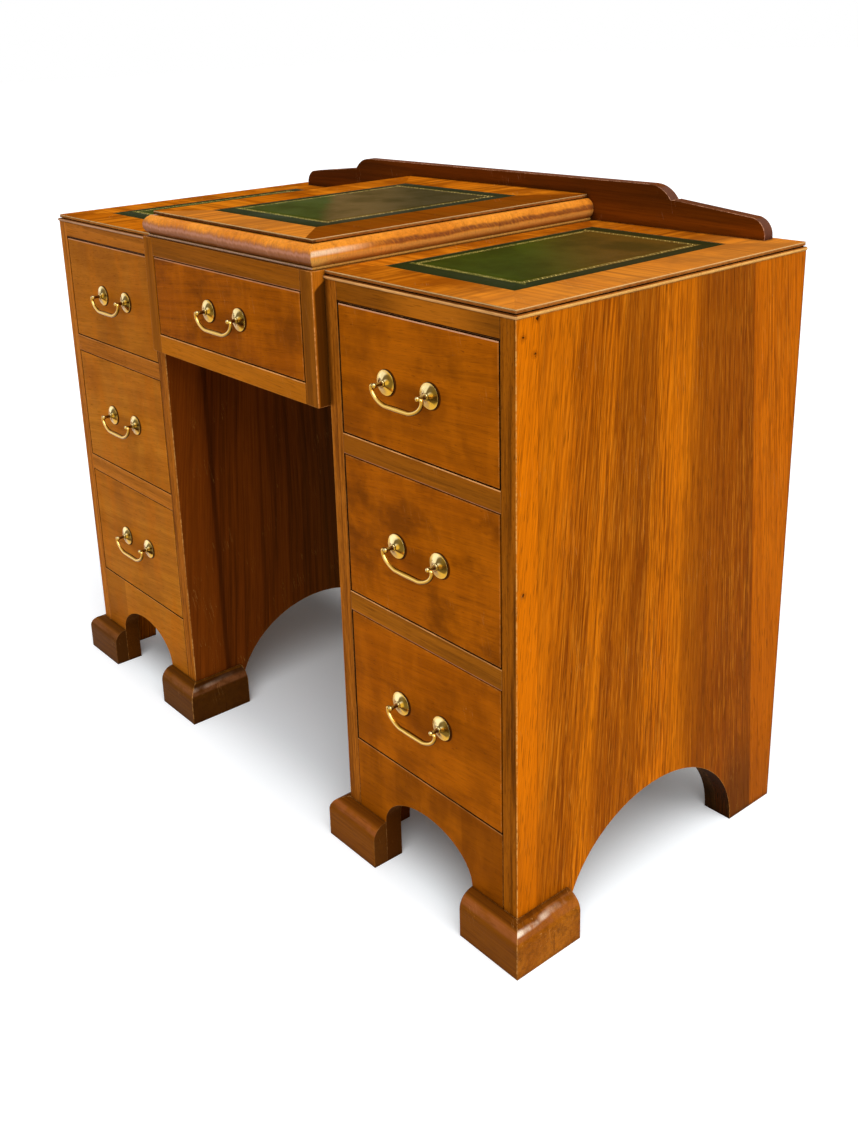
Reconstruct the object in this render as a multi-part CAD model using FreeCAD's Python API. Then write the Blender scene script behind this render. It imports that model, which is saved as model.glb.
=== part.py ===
import FreeCAD, Part
import math
import os

# Kneehole desk: two pedestals of three drawers, a drawer box between them that stands a little proud,
# leather-lined tops, the middle one raised on a cushion moulding, and a shaped gallery at the back.
# Millimetres. +Z is up and +Y points to the back. The origin lies on the floor, under the middle of the desk.

# Carcass
carcass_width = 1000.0
carcass_depth = 475.0
carcass_height = 740.0
pedestal_width = 304.0
panel_thickness = 22.0
back_thickness = 10.0
back_rebate = 8.0

# Arches and legs
front_leg = 80.0
rear_leg = 84.0
side_arch_rise = 131.0
lining_thickness = 17.0
lining_length = 130.0
apron_top = 156.0
apron_thickness = 24.0
apron_leg = 73.0
apron_arch_rise = 52.0

# Feet on the front corners
foot_height = 58.0
foot_projection = 20.5
foot_front_length = 73.0
foot_side_length = 81.0

# Rails, runners and tenons
top_rail_height = 23.0
rail_height = 25.0
rail_depth = 56.0
runner_width = 18.0
tenon_length = 8.0
tenon_height = 10.0
tenon_setback = 8.0

# Pedestal drawers: shares of the height between the rails, the bottom one taking the rest
top_drawer_share = 0.303
middle_drawer_share = 0.345

# Pedestal tops: a bead lip, a groove and a slab edge
lip_height = 4.2
lip_overhang = 1.5
groove_height = 1.3
groove_inset = 4.0
slab_height = 4.5
slab_inset = 1.5
slab_round = 1.2
banding_thickness = 2.0
leather_thickness = 1.6
top_border_front = 60.0
top_border_outer = 62.0
top_border_inner = 35.0
top_border_back = 68.0

# Drawer box between the pedestals
box_projection = 17.0
box_side_thickness = 24.0
box_top_rail_height = 25.0
box_drawer_height = 109.0
box_bottom_rail_height = 26.0
box_back_thickness = 12.0

# Raised middle top on its cushion moulding
moulding_height = 28.0
moulding_width = 34.0
moulding_set_in = 6.0
moulding_fillet = 2.5
moulding_step = 2.0
moulding_bulge = 5.0
moulding_fullest = 13.0
moulding_draw_in = 4.0
middle_slab_set_in = 3.0
middle_border_side = 66.0
middle_border_front = 53.0
middle_border_back = 66.0

# Gallery board
gallery_thickness = 16.0
gallery_height = 54.0
gallery_back_margin = 9.0
gallery_end_margin = 40.0
gallery_end_height = 26.0
gallery_end_round = 22.0
gallery_wing_length = 134.0
gallery_wing_rise = 11.0
gallery_shoulder_length = 34.0
gallery_notch = 4.0

# Drawers
drawer_side_gap = 2.0
drawer_top_gap = 1.5
drawer_lift = 0.3
drawer_front_raise = 1.2
drawer_front_thickness = 20.0
drawer_side_thickness = 10.0
drawer_back_thickness = 10.0
drawer_bottom_thickness = 6.0
drawer_bottom_height = 8.0
drawer_groove = 5.0
drawer_side_drop = 4.0
drawer_back_space = 34.0
dovetail_lap = 5.0
dovetail_pitch = 42.0
dovetail_share = 0.56
dovetail_slope = 1.0 / 6.0
edge_softening = 0.7

# Drawer stops on the rails
stop_length = 26.0
stop_depth = 7.0
stop_height = 5.0
stop_inset = 36.0
stop_clearance = 0.3

# Swan-neck handles. On the pedestals they sit a little off centre, towards the kneehole,
# by the shifts given from the top drawer down.
handle_centres = 72.0
handle_shifts = (11.0, 2.0, 4.0)
rose_radius = 14.5
rose_rim = 1.2
rose_rise = 4.8
rose_hollow = 0.5
collar_radius = 4.2
collar_height = 2.0
collar_seat_radius = 3.7
post_radius = 2.6
post_waist_radius = 2.2
post_reach = 16.0
head_radius = 3.1
bolt_radius = 2.0
bolt_clearance = 0.1
nut_width = 10.0
nut_thickness = 4.0
bolt_tail = 1.5
bail_pin_radius = 1.3
bail_pin_play = 0.05
bail_pin_depth = 3.0
bail_head_gap = 0.3
bail_radius = 2.1
bail_bend = 2.5
bail_drop = 19.5
bail_leg_drop = 12.5
bail_grip_length = 36.0
bail_grip_radius = 3.1
bail_grip_shoulder = 2.8

# Screws through the sides of the drawer box
screw_radius = 2.2
screw_head_radius = 4.4
screw_head_height = 3.0
screw_length = 36.0
screw_front_margin = 90.0
screw_back_margin = 110.0
screw_spread = 60.0

# Places that follow from the sizes
V = FreeCAD.Vector
half_width = carcass_width / 2
knee_half = half_width - pedestal_width
pedestal_mid = half_width - pedestal_width / 2
front_y = (box_projection + post_reach + head_radius - carcass_depth) / 2
back_y = front_y + carcass_depth
box_front_y = front_y - box_projection
panel_inner_left = knee_half + panel_thickness
panel_inner_right = half_width - panel_thickness
top_height = lip_height + groove_height + slab_height
top_z = carcass_height + top_height
box_inner = knee_half - box_side_thickness
box_bottom_z = top_z - box_top_rail_height - box_drawer_height - box_bottom_rail_height
box_floor_z = box_bottom_z + box_bottom_rail_height
gallery_back_y = back_y - gallery_back_margin
gallery_front_y = gallery_back_y - gallery_thickness
drawer_length = carcass_depth - back_thickness - drawer_back_space
lower_runner_z = apron_top - rail_height
pedestal_opening = panel_inner_right - panel_inner_left


def block(x0, x1, y0, y1, z0, z1):
    corner = V(min(x0, x1), min(y0, y1), min(z0, z1))
    return Part.makeBox(abs(x1 - x0), abs(y1 - y0), abs(z1 - z0), corner)


def outline(start, *steps):
    # a face inside lines to single points and arcs given as (through, end) pairs
    edges = []
    here = start
    for step in steps + (start,):
        if isinstance(step, tuple):
            through, end = step
            edges.append(Part.Arc(here, through, end).toShape())
        else:
            end = step
            edges.append(Part.makeLine(here, end))
        here = end
    return Part.Face(Part.Wire(edges))


def prism_up(corners, z0, z1):
    points = [V(x, y, z0) for x, y in corners]
    return outline(*points).extrude(V(0, 0, z1 - z0))


def arc_between(centre, radius_vector, other_radius_vector):
    # a point halfway round the quarter ellipse between two radius vectors
    half = math.sqrt(0.5)
    return centre + radius_vector * half + other_radius_vector * half


def cut_all(shape, tools):
    for tool in tools:
        shape = shape.cut(tool)
    return shape


def fuse_all(shapes):
    whole = shapes[0]
    for shape in shapes[1:]:
        whole = whole.fuse(shape)
    return whole.removeSplitter()


def left_of(shape):
    return shape.mirror(V(0, 0, 0), V(1, 0, 0))


def across_pedestal(shape):
    return shape.mirror(V(pedestal_mid, 0, 0), V(1, 0, 0))


def edges_at(y):
    return lambda edge: abs(edge.BoundBox.YMin - y) + abs(edge.BoundBox.YMax - y) < edge_softening


def upright_edges_at(y):
    in_face = edges_at(y)
    return lambda edge: in_face(edge) and edge.BoundBox.ZLength > edge_softening


def soften(shape, is_edge):
    edges = [edge for edge in shape.Edges if is_edge(edge)]
    return shape.makeChamfer(edge_softening, edges)


def save(name, solids):
    shape = solids[0] if len(solids) == 1 else Part.makeCompound(solids)
    shape.exportStep("parts/" + name + ".step")


def save_pair(name, solids):
    # the right-hand piece and its mirror image on the left
    save("right_" + name, solids)
    save("left_" + name, [left_of(solid) for solid in solids])


def ellipse_face(centre, across, up):
    # a full ellipse with two half-axis vectors, whichever is the longer
    long_axis, short_axis = (across, up) if across.Length > up.Length else (up, across)
    curve = Part.Ellipse(centre + long_axis, centre + short_axis, centre)
    return Part.Face(Part.Wire([curve.toShape()]))


def rail(x0, x1, y0, y1, z0, z1):
    body = block(x0, x1, y0, y1, z0, z1)
    return fuse_all([body, tongue(x0, x1, y0, y1, z0, z1)])


def tongue(x0, x1, y0, y1, z0, z1):
    # the tenons at both ends of a rail, as one bar through it
    z_mid = (z0 + z1) / 2
    low, high = z_mid - tenon_height / 2, z_mid + tenon_height / 2
    return block(x0 - tenon_length, x1 + tenon_length, y0 + tenon_setback, y1 - tenon_setback, low, high)


def pedestal_openings():
    # floor and ceiling of the three drawer openings, from the top down
    room = carcass_height - top_rail_height - 2 * rail_height - apron_top
    top_ceiling = carcass_height - top_rail_height
    top_floor = top_ceiling - top_drawer_share * room
    middle_ceiling = top_floor - rail_height
    middle_floor = middle_ceiling - middle_drawer_share * room
    return [(top_floor, top_ceiling), (middle_floor, middle_ceiling), (apron_top, middle_floor - rail_height)]


def pedestal_rail_boxes():
    # x, y and z limits of the four rails: top, two between the drawers and one behind the apron
    top, middle, bottom = pedestal_openings()
    rows = [(top[1], carcass_height, front_y)]
    rows += [(middle[1], top[0], front_y), (bottom[1], middle[0], front_y)]
    rows += [(lower_runner_z, apron_top, front_y + apron_thickness)]
    back = front_y + rail_depth
    return [(panel_inner_left, panel_inner_right, y0, back, z0, z1) for z0, z1, y0 in rows]


def side_arch(x0, x1):
    half_span = (carcass_depth - front_leg - rear_leg) / 2
    centre = V(x0, front_y + front_leg + half_span, 0)
    return ellipse_face(centre, V(0, half_span, 0), V(0, 0, side_arch_rise)).extrude(V(x1 - x0, 0, 0))


def back_panel():
    x0 = panel_inner_left - back_rebate
    x1 = panel_inner_right + back_rebate
    return block(x0, x1, back_y - back_thickness, back_y, lower_runner_z, carcass_height)


def side_panel(x0, x1, holes):
    # a board from the floor to the top, with the wide arch between its legs
    board = block(x0, x1, front_y, back_y, 0, carcass_height)
    board = soften(board, upright_edges_at(front_y))
    mortises = [tongue(*limits) for limits in pedestal_rail_boxes()]
    return cut_all(board, [side_arch(x0, x1), back_panel()] + mortises + holes)


def leg_lining(x0, x1):
    strip = block(x0, x1, back_y - lining_length, back_y, 0, lower_runner_z)
    return strip.cut(side_arch(x0, x1))


def apron():
    board = block(panel_inner_left, panel_inner_right, front_y, front_y + apron_thickness, 0, apron_top)
    half_span = pedestal_width / 2 - apron_leg
    reach = V(0, apron_thickness, 0)
    centre = V(pedestal_mid, front_y, foot_height)
    crown = ellipse_face(centre, V(half_span, 0, 0), V(0, 0, apron_arch_rise)).extrude(reach)
    x0, x1 = pedestal_mid - half_span, pedestal_mid + half_span
    gap = block(x0, x1, front_y, front_y + apron_thickness, 0, foot_height)
    return cut_all(board, [crown, gap])


def runners():
    # strips on both panels that carry the drawers, and the kickers above the top drawer
    levels = [(limits[4], limits[5]) for limits in pedestal_rail_boxes()]
    strips = []
    for z0, z1 in levels:
        x1 = panel_inner_left + runner_width
        strip = block(panel_inner_left, x1, front_y + rail_depth, back_y - back_thickness, z0, z1)
        strips += [strip, across_pedestal(strip)]
    return strips


def drawer_stop_pair(mid_x, face_y, floor_z, opening):
    y0 = face_y + drawer_front_thickness + stop_clearance
    x1 = mid_x + opening / 2 - stop_inset
    stop = block(x1 - stop_length, x1, y0, y0 + stop_depth, floor_z, floor_z + stop_height)
    return [stop, stop.mirror(V(mid_x, 0, 0), V(1, 0, 0))]


def foot_profile(place):
    # a block whose whole top is a quarter-round; place turns (outward, height) into a point
    centre_z = foot_height - foot_projection
    half = foot_projection * math.sqrt(0.5)
    return outline(place(0, 0), place(foot_projection, 0), place(foot_projection, centre_z),
                   (place(half, centre_z + half), place(0, foot_height)))


def outer_foot():
    # two blocks that wrap the front corner and meet in a mitre
    x_end, y_end = half_width - foot_front_length, front_y + foot_side_length
    tip = (half_width + foot_projection, front_y - foot_projection)
    corner = (half_width, front_y)
    front_section = foot_profile(lambda u, z: V(x_end, front_y - u, z))
    side_section = foot_profile(lambda u, z: V(half_width + u, y_end, z))
    front = front_section.extrude(V(foot_front_length + foot_projection, 0, 0))
    side = side_section.extrude(V(0, -foot_side_length - foot_projection, 0))
    front_plan = prism_up([(x_end, front_y), corner, tip, (x_end, tip[1])], 0, foot_height)
    side_plan = prism_up([corner, tip, (tip[0], y_end), (half_width, y_end)], 0, foot_height)
    return [front.common(front_plan), side.common(side_plan)]


def top_edge(place, far):
    # section of a pedestal top: bead lip, groove and rounded slab edge; far is the plain opposite edge
    bead = lip_height / 2
    slab_z = lip_height + groove_height
    round_u = -slab_inset - slab_round
    round_z = top_height - slab_round
    half = slab_round * math.sqrt(0.5)
    return outline(place(far, 0), place(lip_overhang - bead, 0),
                   (place(lip_overhang, bead), place(lip_overhang - bead, lip_height)),
                   place(-groove_inset, lip_height), place(-groove_inset, slab_z), place(-slab_inset, slab_z),
                   place(-slab_inset, round_z),
                   (place(round_u + half, round_z + half), place(round_u, top_height)),
                   place(far, top_height))


def pedestal_top_runs():
    # the front edge drawn out along X and the side edge drawn out along Y; the top is what they share
    front = top_edge(lambda u, z: V(knee_half, front_y - u, carcass_height + z), -carcass_depth)
    start_y = front_y - lip_overhang
    side = top_edge(lambda u, z: V(half_width + u, start_y, carcass_height + z), -pedestal_width)
    along_x = front.extrude(V(pedestal_width + lip_overhang, 0, 0))
    along_y = side.extrude(V(0, carcass_depth + lip_overhang, 0))
    return along_x, along_y


def mitre_plans(outer, inner):
    # plans of the front, right, back and left strips of a border, drawn past the outer edge along the mitres
    tips = [(2 * far[0] - near[0], 2 * far[1] - near[1]) for far, near in zip(outer, inner)]
    following = [1, 2, 3, 0]
    return [[tips[here], tips[there], inner[there], inner[here]] for here, there in enumerate(following)]


def rectangle(x0, x1, y0, y1):
    return [(x0, y0), (x1, y0), (x1, y1), (x0, y1)]


def lined_top(blank, runs, outer, inner, surface_z):
    # board, mitred border and leather of one top; runs are the edges drawn out at front, right, back and left
    band_z = surface_z - banding_thickness
    whole = blank.BoundBox
    board = blank.common(block(whole.XMin, whole.XMax, whole.YMin, whole.YMax, whole.ZMin, band_z))
    plans = [prism_up(plan, band_z, surface_z) for plan in mitre_plans(outer, inner)]
    border = [run.common(plan) for run, plan in zip(runs, plans)]
    return board, border, prism_up(inner, band_z, band_z + leather_thickness)


def pedestal_top():
    outer = rectangle(knee_half, half_width - slab_inset, front_y + slab_inset, back_y)
    inner = rectangle(knee_half + top_border_inner, half_width - top_border_outer,
                      front_y + top_border_front, back_y - top_border_back)
    along_x, along_y = pedestal_top_runs()
    return lined_top(along_x.common(along_y), [along_x, along_y, along_x, along_y], outer, inner, top_z)


def box_rail_boxes():
    # x, y and z limits of the bottom and top rails of the drawer box
    back = box_front_y + rail_depth
    ceiling = top_z - box_top_rail_height
    return [(-box_inner, box_inner, box_front_y, back, box_bottom_z, box_floor_z),
            (-box_inner, box_inner, box_front_y, back, ceiling, top_z)]


def box_back():
    y0 = gallery_back_y - box_back_thickness
    return block(-box_inner, box_inner, y0, gallery_back_y, box_bottom_z, top_z)


def box_screws():
    # countersunk screws from inside the box into the inner panel of the right pedestal
    z_mid = box_floor_z + box_drawer_height / 2
    screws = []
    for y in (front_y + screw_front_margin, back_y - screw_back_margin):
        for z in (z_mid - screw_spread / 2, z_mid + screw_spread / 2):
            seat = V(box_inner, y, z)
            head = Part.makeCone(screw_head_radius, screw_radius, screw_head_height, seat, V(1, 0, 0))
            shank = Part.makeCylinder(screw_radius, screw_length, seat, V(1, 0, 0))
            screws.append(fuse_all([head, shank]))
    return screws


def box_side(screws):
    board = block(box_inner, knee_half, box_front_y, gallery_back_y, box_bottom_z, top_z)
    board = soften(board, upright_edges_at(box_front_y))
    mortises = [tongue(*limits) for limits in box_rail_boxes()]
    return cut_all(board, mortises + screws)


def box_runners():
    strips = []
    for limits in box_rail_boxes():
        y0, y1 = box_front_y + rail_depth, gallery_back_y - box_back_thickness
        strip = block(box_inner - runner_width, box_inner, y0, y1, limits[4], limits[5])
        strips += [strip, left_of(strip)]
    return strips


def raised_runs(section, set_in, z0):
    # one edge section drawn out along the front and along the right side of the raised middle
    half = knee_half - set_in
    y0 = box_front_y + set_in
    depth = gallery_front_y - y0
    spare = moulding_bulge
    front = section(lambda u, z: V(-half - spare, y0 - u, z0 + z), -depth)
    side = section(lambda u, z: V(half + u, y0 - spare, z0 + z), -2 * half - spare)
    along_x = front.extrude(V(2 * half + 2 * spare, 0, 0))
    along_y = side.extrude(V(0, depth + spare, 0))
    return along_x, along_y


def cushion_section(place, far):
    # a small fillet below a swelling curve that draws in towards the top
    return outline(place(far, 0), place(0, 0), place(0, moulding_fillet),
                   place(-moulding_step, moulding_fillet),
                   (place(moulding_bulge, moulding_fullest), place(-moulding_draw_in, moulding_height)),
                   place(far, moulding_height))


def middle_moulding():
    # three lengths of cushion moulding, mitred at the two front corners
    z1 = top_z + moulding_height
    half = knee_half - moulding_set_in + moulding_bulge
    y0 = box_front_y + moulding_set_in - moulding_bulge
    well_half = half - moulding_width
    well = block(-well_half, well_half, y0 + moulding_width, gallery_front_y, top_z, z1)
    along_x, along_y = raised_runs(cushion_section, moulding_set_in, top_z)
    ring = along_x.common(along_y).common(left_of(along_y)).cut(well)
    front_plan = [(-half, y0), (half, y0), (0, y0 + half)]
    front = ring.common(prism_up(front_plan, top_z, z1))
    right = ring.cut(front).common(block(0, half, y0, gallery_front_y, top_z, z1))
    return [front, right, left_of(right)]


def slab_section(place, far):
    # a recessed groove below a thin slab with a rounded upper edge
    slab_top = groove_height + slab_height
    round_z = slab_top - slab_round
    half = slab_round * math.sqrt(0.5)
    return outline(place(far, 0), place(-groove_inset, 0), place(-groove_inset, groove_height),
                   place(0, groove_height), place(0, round_z),
                   (place(half - slab_round, round_z + half), place(-slab_round, slab_top)),
                   place(far, slab_top))


def middle_top():
    set_in = moulding_set_in + moulding_draw_in + middle_slab_set_in
    half, y0 = knee_half - set_in, box_front_y + set_in
    surface_z = top_z + moulding_height + groove_height + slab_height
    along_x, along_y = raised_runs(slab_section, set_in, top_z + moulding_height)
    blank = along_x.common(along_y).common(left_of(along_y))
    runs = [along_x, along_y, along_x, left_of(along_y)]
    outer = rectangle(-half, half, y0, gallery_front_y)
    inner = rectangle(-half + middle_border_side, half - middle_border_side,
                      y0 + middle_border_front, gallery_front_y - middle_border_back)
    return lined_top(blank, runs, outer, inner, surface_z)


def gallery():
    # a board with rounded ends, sloping wings, a notch and shoulders that curve into a straight top
    end_x = half_width - gallery_end_margin
    wing_x = end_x - gallery_wing_length
    shoulder_x = wing_x - gallery_notch
    straight_x = shoulder_x - gallery_shoulder_length
    wing_z = gallery_end_height + gallery_wing_rise
    shoulder_z = wing_z - gallery_notch / 4

    def at(x, z):
        return V(x, gallery_front_y, top_z + z)

    round_x, round_z = end_x - gallery_end_round, gallery_end_height - gallery_end_round
    end_through = arc_between(at(round_x, round_z), V(gallery_end_round, 0, 0), V(0, 0, gallery_end_round))
    rise = gallery_height - shoulder_z
    radius = (gallery_shoulder_length ** 2 + rise ** 2) / (2 * rise)
    turn = math.asin(gallery_shoulder_length / radius) / 2
    fall = radius * (1 - math.cos(turn))
    shoulder_through = at(straight_x + radius * math.sin(turn), gallery_height - fall)
    right_half = outline(at(0, 0), at(end_x, 0), at(end_x, round_z),
                         (end_through, at(round_x, gallery_end_height)), at(wing_x, wing_z),
                         at(shoulder_x, shoulder_z), (shoulder_through, at(straight_x, gallery_height)),
                         at(0, gallery_height))
    board = right_half.extrude(V(0, gallery_thickness, 0))
    return fuse_all([board, left_of(board)])


def dovetails(x0, x1, y_root, y_tip, z0, z1):
    # tails that widen from root to tip, spaced evenly over a height
    count = max(2, int((z1 - z0) // dovetail_pitch))
    pitch = (z1 - z0) / count
    root = pitch * dovetail_share / 2
    tip = root + abs(y_tip - y_root) * dovetail_slope
    tails = []
    for number in range(count):
        z = z0 + pitch * (number + 0.5)
        face = outline(V(x0, y_root, z - root), V(x0, y_tip, z - tip),
                       V(x0, y_tip, z + tip), V(x0, y_root, z + root))
        tails.append(face.extrude(V(x1 - x0, 0, 0)))
    return tails


def drawer_parts(mid_x, face_y, floor_z, opening, height):
    # front, sides, back and bottom of one drawer, dovetailed at all four corners
    half = opening / 2 - drawer_side_gap
    inside = half - drawer_side_thickness
    z0 = floor_z + drawer_lift
    z1 = floor_z + height - drawer_top_gap
    side_z1 = z1 - drawer_side_drop
    joint_y = face_y + drawer_front_thickness
    end_y = face_y + drawer_length
    back_start = end_y - drawer_back_thickness
    bottom_z = z0 + drawer_bottom_height
    bottom_top = bottom_z + drawer_bottom_thickness
    reach = inside + drawer_groove
    bottom = block(mid_x - reach, mid_x + reach, joint_y - drawer_groove, end_y, bottom_z, bottom_top)
    x0, x1 = mid_x + inside, mid_x + half
    front_tails = dovetails(x0, x1, joint_y, face_y + dovetail_lap, z0, side_z1)
    back_tails = dovetails(x0, x1, back_start, end_y, bottom_top, side_z1)
    plank = block(x0, x1, joint_y, back_start, z0, side_z1)
    side = fuse_all([plank] + front_tails + back_tails).cut(bottom)
    other_side = side.mirror(V(mid_x, 0, 0), V(1, 0, 0))
    front = block(mid_x - half, mid_x + half, face_y, joint_y, z0 + drawer_front_raise, z1)
    front = soften(front, edges_at(face_y))
    front = cut_all(front, [side, other_side, bottom])
    back = block(mid_x - half, mid_x + half, back_start, end_y, bottom_top, side_z1)
    back = cut_all(back, [side, other_side])
    return front, [side, other_side, back, bottom]


def handle_places(handle_x):
    return [handle_x - handle_centres / 2, handle_x + handle_centres / 2]


def bolt_holes(handle_x, face_y, z):
    radius = bolt_radius + bolt_clearance
    starts = [V(x, face_y, z) for x in handle_places(handle_x)]
    return [Part.makeCylinder(radius, drawer_front_thickness, start, V(0, 1, 0)) for start in starts]


def turned(points):
    # a solid of revolution about Y from an outline of (radius, forward) points
    return outline(*points).revolve(V(0, 0, 0), V(0, 1, 0), 360)


def rose():
    # a turned disc: thin rim, slightly hollow cone up to the collar seat, and the bore for the post
    bore = bolt_radius + bolt_clearance
    dip = V((rose_radius + collar_radius) / 2, rose_hollow - (rose_rim + rose_rise) / 2, 0)
    return turned([V(bore, 0, 0), V(rose_radius, 0, 0), V(rose_radius, -rose_rim, 0),
                   (dip, V(collar_radius, -rose_rise, 0)), V(bore, -rose_rise, 0)])


def post():
    # a turned post: bolt through the drawer front, collar, neck and a round head bored for the bail
    bolt_end = drawer_front_thickness + nut_thickness + bolt_tail
    collar = rose_rise + collar_height
    neck_end = post_reach - math.sqrt(head_radius ** 2 - post_radius ** 2)
    neck_mid = V(post_waist_radius, -(collar + neck_end) / 2, 0)
    shoulder = V(collar_radius, -(rose_rise + collar_height / 2), 0)
    body = turned([V(0, bolt_end, 0), V(bolt_radius, bolt_end, 0), V(bolt_radius, -rose_rise, 0),
                   V(collar_seat_radius, -rose_rise, 0), (shoulder, V(post_radius, -collar, 0)),
                   (neck_mid, V(post_radius, -neck_end, 0)),
                   (V(head_radius, -post_reach, 0), V(0, -post_reach - head_radius, 0))])
    bore_start = V(-head_radius, -post_reach, 0)
    bore = Part.makeCylinder(bail_pin_radius + bail_pin_play, 2 * head_radius, bore_start, V(1, 0, 0))
    return body.cut(bore)


def nut():
    half = nut_width / 2
    y0 = drawer_front_thickness
    plate = block(-half, half, y0, y0 + nut_thickness, -half, half)
    return plate.cut(Part.makeCylinder(bolt_radius + bolt_clearance, nut_thickness, V(0, y0, 0), V(0, 1, 0)))


def handle_mounts(handle_x, face_y, z):
    pieces = []
    for x in handle_places(handle_x):
        for piece in (rose(), post(), nut()):
            pieces.append(piece.translated(V(x, face_y, z)))
    return pieces


def bail_ring(radius, x, z):
    return Part.Wire([Part.makeCircle(radius, V(x, 0, z), V(1, 0, 0))])


def bail():
    # a hanging swan-neck bail about its own pin axis, swelling from its thin legs to the middle of the grip
    start_x = handle_centres / 2 + head_radius + bail_head_gap
    leg_x = start_x + bail_bend
    grip = bail_grip_length / 2
    bend_through = arc_between(V(start_x, 0, -bail_bend), V(bail_bend, 0, 0), V(0, 0, bail_bend))
    bend = Part.Arc(V(start_x, 0, 0), bend_through, V(leg_x, 0, -bail_bend)).toShape()
    sweep = Part.BezierCurve()
    sweep.setPoles([V(leg_x, 0, -bail_bend), V(leg_x, 0, -bail_leg_drop),
                    V((leg_x + 2 * grip) / 3, 0, -bail_drop), V(grip, 0, -bail_drop)])
    straight = Part.makeLine(V(grip, 0, -bail_drop), V(0, 0, -bail_drop))
    path = Part.Wire([bend, sweep.toShape(), straight])
    rings = [bail_ring(bail_radius, start_x, 0), bail_ring(bail_grip_shoulder, grip, -bail_drop),
             bail_ring(bail_grip_radius, 0, -bail_drop)]
    rod = path.makePipeShell(rings, True, False)
    pin_tip = handle_centres / 2 - bail_pin_depth
    pin = Part.makeCylinder(bail_pin_radius, start_x - pin_tip, V(pin_tip, 0, 0), V(1, 0, 0))
    half = fuse_all([rod, pin])
    return fuse_all([half, left_of(half)])


def save_drawer(name, mid_x, handle_x, face_y, floor_z, opening, height):
    front, box = drawer_parts(mid_x, face_y, floor_z, opening, height)
    z = floor_z + (height + drawer_lift - drawer_top_gap) / 2
    save(name + "_front", [cut_all(front, bolt_holes(handle_x, face_y, z))])
    save(name + "_box", box)
    save(name + "_mounts", handle_mounts(handle_x, face_y, z))
    save(name + "_bail", [bail().translated(V(handle_x, face_y - post_reach, z))])


def save_pedestals():
    screws = box_screws()
    save_pair("outer_side", [side_panel(panel_inner_right, half_width, [])])
    save_pair("inner_side", [side_panel(knee_half, panel_inner_left, screws)])
    save_pair("back_panel", [back_panel()])
    save_pair("rails", [rail(*limits) for limits in pedestal_rail_boxes()])
    save_pair("runners", runners())
    save_pair("apron", [apron()])
    lining = leg_lining(panel_inner_right - lining_thickness, panel_inner_right)
    linings = [lining, across_pedestal(lining)]
    save("rear_leg_linings", linings + [left_of(piece) for piece in linings])
    foot = outer_foot()
    save_pair("front_feet", foot + [across_pedestal(piece) for piece in foot])
    board, border, leather = pedestal_top()
    save_pair("top_board", [board])
    save_pair("top_border", border)
    save_pair("leather", [leather])


def save_middle():
    screws = box_screws()
    side = box_side(screws)
    save("middle_sides", [side, left_of(side)])
    save("middle_rails", [rail(*limits) for limits in box_rail_boxes()])
    save("middle_back", [box_back()])
    save("middle_runners", box_runners())
    save("middle_screws", screws + [left_of(screw) for screw in screws])
    save("middle_moulding", middle_moulding())
    board, border, leather = middle_top()
    save("middle_top_board", [board])
    save("middle_top_border", border)
    save("middle_leather", [leather])
    save("gallery", [gallery()])


def save_drawers():
    stops = []
    for side_name, side in (("left", -1), ("right", 1)):
        mid_x = side * pedestal_mid
        levels = zip(("top", "middle", "bottom"), handle_shifts, pedestal_openings())
        for level_name, shift, (floor_z, ceiling_z) in levels:
            name = side_name + "_" + level_name + "_drawer"
            handle_x = mid_x - side * shift
            save_drawer(name, mid_x, handle_x, front_y, floor_z, pedestal_opening, ceiling_z - floor_z)
            stops += drawer_stop_pair(mid_x, front_y, floor_z, pedestal_opening)
    save_drawer("middle_drawer", 0.0, 0.0, box_front_y, box_floor_z, 2 * box_inner, box_drawer_height)
    stops += drawer_stop_pair(0.0, box_front_y, box_floor_z, 2 * box_inner)
    save("drawer_stops", stops)


os.makedirs("parts", exist_ok=True)
save_pedestals()
save_middle()
save_drawers()
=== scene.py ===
import math
from functools import partial, reduce
import bmesh
import bpy
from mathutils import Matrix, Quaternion, Vector, noise


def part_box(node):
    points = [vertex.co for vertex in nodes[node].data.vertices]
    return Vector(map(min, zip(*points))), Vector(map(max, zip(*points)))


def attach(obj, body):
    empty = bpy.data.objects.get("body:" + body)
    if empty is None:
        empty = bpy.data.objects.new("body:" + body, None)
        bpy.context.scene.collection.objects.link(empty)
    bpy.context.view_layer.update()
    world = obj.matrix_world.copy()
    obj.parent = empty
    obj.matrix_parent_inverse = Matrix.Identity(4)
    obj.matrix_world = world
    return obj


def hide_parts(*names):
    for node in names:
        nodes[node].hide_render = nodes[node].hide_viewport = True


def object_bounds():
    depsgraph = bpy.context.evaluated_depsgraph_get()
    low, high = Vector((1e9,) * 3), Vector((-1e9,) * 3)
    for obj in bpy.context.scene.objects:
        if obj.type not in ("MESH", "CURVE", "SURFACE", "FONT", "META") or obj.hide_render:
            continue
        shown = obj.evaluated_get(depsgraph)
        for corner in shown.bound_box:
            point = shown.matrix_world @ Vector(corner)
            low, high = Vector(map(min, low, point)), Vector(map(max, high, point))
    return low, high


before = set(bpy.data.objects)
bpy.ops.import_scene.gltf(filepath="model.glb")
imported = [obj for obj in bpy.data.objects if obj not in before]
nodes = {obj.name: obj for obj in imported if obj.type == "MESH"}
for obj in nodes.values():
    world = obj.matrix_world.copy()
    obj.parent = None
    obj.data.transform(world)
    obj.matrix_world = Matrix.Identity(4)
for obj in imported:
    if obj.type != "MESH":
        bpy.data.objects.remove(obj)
cadLow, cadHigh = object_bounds()
scene = bpy.context.scene
scene.view_settings.view_transform = "Standard"
print("frame loaded:", len(nodes), "nodes")


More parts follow.
